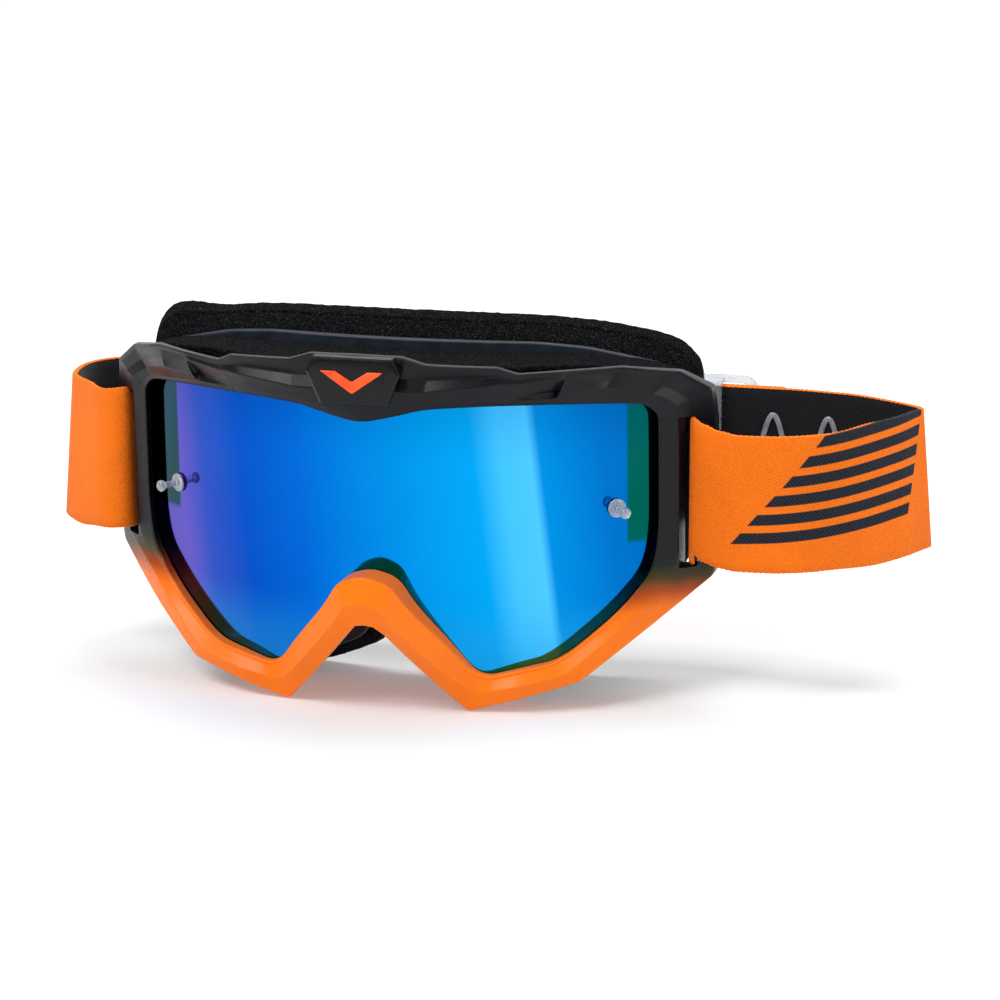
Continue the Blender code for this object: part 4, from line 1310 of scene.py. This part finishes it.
class GOGGLES_OT_straps(bpy.types.Operator):
    """Builds the two side straps and the rear strap"""

    bl_idname = "goggles.straps"
    bl_label = "Straps"

    def execute(self, context):
        settings = context.scene.goggles
        plain = strap_outside("elastic", settings, False)
        printed = strap_outside("printed_elastic", settings, True)
        inside = strap_inside()
        kinds = (
            (1, "right", RIGHT_TAIL, RIGHT_ROUTE, RIGHT_EDGES, printed),
            (-1, "left", LEFT_TAIL, LEFT_ROUTE, LEFT_EDGES, plain),
        )
        for side, word, tail, route, table, outside in kinds:
            way = strap_way(side, tail, route)
            start = way_length(way[: CURVE_STEPS * (len(tail) + len(LOOP) - 1) + 1])

            def edges(along, table=table):
                return table_value(table, along / MM)

            name = f"side_strap_{word}"
            obj = put(name, strap_mesh(name, way, side, edges, start))
            settle(obj, [outside, inside], [f"strap_{word}"])
        rear = REAR_RUN + STRAP_THICKNESS + GAP
        way = [Vector((-REAR_END, rear)), Vector((REAR_END, rear))]
        obj = put("rear_strap", strap_mesh("rear_strap", way, -1, lambda along: (0, 0, 0), 0))
        settle(obj, [plain, inside], ["strap_rear"])
        return {"FINISHED"}


GRIP_SWING = 13 * MM
GRIP_WAVELENGTH = 17 * MM
GRIP_END = 52 * MM  # outwards from the bar, where the bead stops
GRIP_FOLD = 0.83  # the bead stays behind this share of the way to the rear run
GRIP_STEP = 0.5 * MM
GRIP_RISE = 0.45 * MM
GRIP_HALF_WIDTH = 0.8 * MM
GRIP_HALF_HEIGHT = 0.4 * MM
GRIP_SIDES = 10


class GOGGLES_OT_grips(bpy.types.Operator):
    """Builds the wavy silicone beads inside the side straps"""

    bl_idname = "goggles.grips"
    bl_label = "Silicone grips"

    def execute(self, context):
        finish = clear_finish("silicone", "8C929C", "B4BAC4", 0.25, 0.3)
        for side, word, route in ((1, "right", RIGHT_ROUTE), (-1, "left", LEFT_ROUTE)):
            fold = mix(BAR_FRONT, REAR_RUN, GRIP_FOLD)
            route = smooth(to_rear(route, side))[::-1]
            chosen = [p for p in route if p.y > fold and abs(p.x) <= BAR_X + GRIP_END]
            length = way_length(chosen)
            count = math.ceil(length / GRIP_STEP)
            points = evenly(chosen, count, closed=False)
            centres, normals = [], []
            for index, point in enumerate(points):
                along = length * index / count
                ahead = heading(points, index)
                normal = Vector((ahead.y, -ahead.x)) * side
                spot = point + normal * (STRAP_THICKNESS / 2 + GRIP_RISE)
                wave = GRIP_SWING * math.sin(2 * math.pi * along / GRIP_WAVELENGTH)
                centres.append(Vector((spot.x, spot.y, STRAP_MIDDLE + wave)))
                normals.append(Vector((normal.x, normal.y, 0)))
            fine = evenly(centres, count * 4, closed=False)
            rings = []
            for index, centre in enumerate(fine):
                up = normals[min(index // 4, count)]
                aside = heading(fine, index).cross(up).normalized()
                ring = []
                for turn in range(GRIP_SIDES):
                    angle = 2 * math.pi * turn / GRIP_SIDES
                    across = aside * GRIP_HALF_WIDTH * math.cos(angle)
                    ring.append(centre + across + up * GRIP_HALF_HEIGHT * math.sin(angle))
                rings.append(ring)
            name = f"grip_{word}"
            obj = put(name, loft(name, rings))
            settle(obj, [finish], [f"silicone_grip_{word}"])
        return {"FINISHED"}


class GOGGLES_OT_adjusters(bpy.types.Operator):
    """Finishes the clear sliders on the strap"""

    bl_idname = "goggles.adjusters"
    bl_label = "Strap adjusters"

    def execute(self, context):
        clear = clear_finish("clear_adjuster", "D4DEE8", "F0F5FA", 0.8, 0.14)
        for word in ("left", "right"):
            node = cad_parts[f"strap_adjuster_{word}"]
            for slot in node.material_slots:
                slot.material = clear
            soft_bevel(node, 0.35 * MM)
        return {"FINISHED"}


# ---------------------------------------------------------------- stage


# The floor's section from front to back, as (y, z): it curves up behind into a backdrop.
FLOOR = ((-3.0, 0), (-1, 0), (0, 0), (1.2, 0), (1.7, 0.04), (2.1, 0.2), (2.4, 0.55), (2.5, 1.1), (2.5, 3.0))
FLOOR_HALF_WIDTH = 3.5
FLOOR_COLUMNS = 8
# Each lamp's name, size, place, target and strength.
MIDDLE = (0.0, -0.01, 0.05)
LAMPS = (
    ("key", (0.9, 0.6), (-0.55, -0.75, 1.15), MIDDLE, 13),
    ("top", (1.2, 0.8), (0.1, 0.35, 1.3), MIDDLE, 10),
    ("side", (0.4, 0.9), (1.15, -0.45, 0.55), MIDDLE, 4),
    ("backdrop", (3.0, 0.8), (0.0, 0.9, 1.9), (0.0, 2.4, 0.5), 30),
)
# In the goggles' own frame, in mm.
CAMERA_PLACE = Vector((311.56, -1046.90, 312.41))
CAMERA_TARGET = Vector((39.6, -10.2, 65.0))


def aimed(obj, place, target):
    """Puts an object in the scene, looking at a target."""
    bpy.context.scene.collection.objects.link(obj)
    obj.location = place
    obj.rotation_euler = (Vector(target) - Vector(place)).to_track_quat("-Z", "Y").to_euler()
    return obj


def emitter(name, size, place, target, power):
    """A soft rectangular lamp."""
    light = bpy.data.lights.new(name, "AREA")
    light.shape = "RECTANGLE"
    light.size, light.size_y = size
    light.energy = power
    aimed(bpy.data.objects.new(name, light), place, target)


class GOGGLES_OT_stage(bpy.types.Operator):
    """Builds the floor, the lights and the camera"""

    bl_idname = "goggles.stage"
    bl_label = "Stage"

    def execute(self, context):
        stage = context.scene.goggles_stage
        bm = bmesh.new()
        rows = []
        for y, z in FLOOR:
            columns = steps_between(-FLOOR_HALF_WIDTH, FLOOR_HALF_WIDTH, FLOOR_COLUMNS)
            rows.append([bm.verts.new((x, y, z)) for x in columns])
        bridge(bm, rows, closed=False)
        floor = bpy.data.objects.new("floor", to_mesh("floor", bm, recalculate=False))
        context.scene.collection.objects.link(floor)
        floor.location.z = -0.0002
        made = Finish(
            "floor",
            Roughness=0.9,
            Specular_IOR_Level=0.05,
            Emission_Color=(1, 1, 1, 1),
            Emission_Strength=stage.floor_glow,
        )
        tone = made.ramp(made.noise(made.place(), 3.0, 2.0), ((0.3, "D2D4D5"), (0.7, "D6D8D9")))
        floor.data.materials.append(made.feed(Base_Color=tone))
        world = bpy.data.worlds.new("studio")
        world.use_nodes = True
        background = next(n for n in world.node_tree.nodes if n.type == "BACKGROUND")
        background.inputs["Color"].default_value = (1, 1, 1, 1)
        background.inputs["Strength"].default_value = stage.ambient
        context.scene.world = world
        for name, size, place, target, strength in LAMPS:
            emitter(name, size, place, target, strength * stage.power)
        camera = bpy.data.cameras.new("camera")
        camera.sensor_width = 36
        camera.lens = stage.focal
        camera.clip_start = 0.01
        obj = bpy.data.objects.new("camera", camera)
        context.scene.camera = aimed(obj, ORIGIN + CAMERA_PLACE * MM, ORIGIN + CAMERA_TARGET * MM)
        context.scene.view_settings.view_transform = "Standard"
        return {"FINISHED"}


# ---------------------------------------------------------------- settings, panel and registration


COLOUR = {"subtype": "COLOR", "size": 3, "min": 0, "max": 1}
LENGTH = {"subtype": "DISTANCE", "unit": "LENGTH"}


class GogglesSettings(bpy.types.PropertyGroup):
    """Sizes and colours of the goggles."""

    shell_orange: bpy.props.FloatVectorProperty(
        name="Frame orange",
        description="Colour of the lower frame",
        **COLOUR,
        default=colour("FF7A0C"),
    )
    fade_bottom: bpy.props.FloatProperty(
        name="Fade starts at",
        description="Height on the frame where the orange begins to darken",
        **LENGTH,
        default=0.0175,
        min=0,
    )
    fade_top: bpy.props.FloatProperty(
        name="Fade ends at",
        description="Height on the frame where it has turned black",
        **LENGTH,
        default=0.0415,
        min=0,
    )
    strap_orange: bpy.props.FloatVectorProperty(
        name="Strap orange",
        description="Colour of the elastic's outer face",
        **COLOUR,
        default=colour("FF7A0C"),
    )
    stripe_ink: bpy.props.FloatVectorProperty(
        name="Stripes",
        description="Colour of the stripes printed on the right strap",
        **COLOUR,
        default=colour("272A36"),
    )
    stripe_pitch: bpy.props.FloatProperty(
        name="Stripe spacing",
        description="Distance from one stripe to the next",
        **LENGTH,
        default=0.0052,
        min=0.001,
    )


class StageSettings(bpy.types.PropertyGroup):
    """Light and camera."""

    ambient: bpy.props.FloatProperty(
        name="Ambient", description="Strength of the even light from all sides", default=0.32, min=0
    )
    floor_glow: bpy.props.FloatProperty(
        name="Floor glow", description="How much light the pale floor gives off itself", default=0.22, min=0
    )
    power: bpy.props.FloatProperty(
        name="Lamps", description="Strength of all lamps together", default=1.12, min=0
    )
    focal: bpy.props.FloatProperty(
        name="Focal length", description="Camera lens", default=144.97, min=1, unit="CAMERA"
    )


PIECES = (
    GOGGLES_OT_stage,
    GOGGLES_OT_front_frame,
    GOGGLES_OT_lens,
    GOGGLES_OT_badge,
    GOGGLES_OT_posts,
    GOGGLES_OT_flange,
    GOGGLES_OT_face_foam,
    GOGGLES_OT_vent_foam,
    GOGGLES_OT_straps,
    GOGGLES_OT_grips,
    GOGGLES_OT_adjusters,
)


class GOGGLES_PT_panel(bpy.types.Panel):
    """Lists the pieces and their settings"""

    bl_idname = "GOGGLES_PT_panel"
    bl_label = "Goggles"
    bl_space_type = "VIEW_3D"
    bl_region_type = "UI"
    bl_category = "Goggles"

    def draw(self, context):
        layout = self.layout
        for settings in (context.scene.goggles, context.scene.goggles_stage):
            for name in settings.__annotations__:
                layout.prop(settings, name)
        for piece in PIECES:
            layout.operator(piece.bl_idname)


CLASSES = (GogglesSettings, StageSettings, *PIECES, GOGGLES_PT_panel)


def register():
    for each in CLASSES:
        bpy.utils.register_class(each)
    bpy.types.Scene.goggles = bpy.props.PointerProperty(type=GogglesSettings)
    bpy.types.Scene.goggles_stage = bpy.props.PointerProperty(type=StageSettings)


def unregister():
    del bpy.types.Scene.goggles_stage
    del bpy.types.Scene.goggles
    for each in reversed(CLASSES):
        bpy.utils.unregister_class(each)


def main():
    register()
    for piece in PIECES:
        group, name = piece.bl_idname.split(".")
        getattr(getattr(bpy.ops, group), name)()


if __name__ == "__main__":
    main()
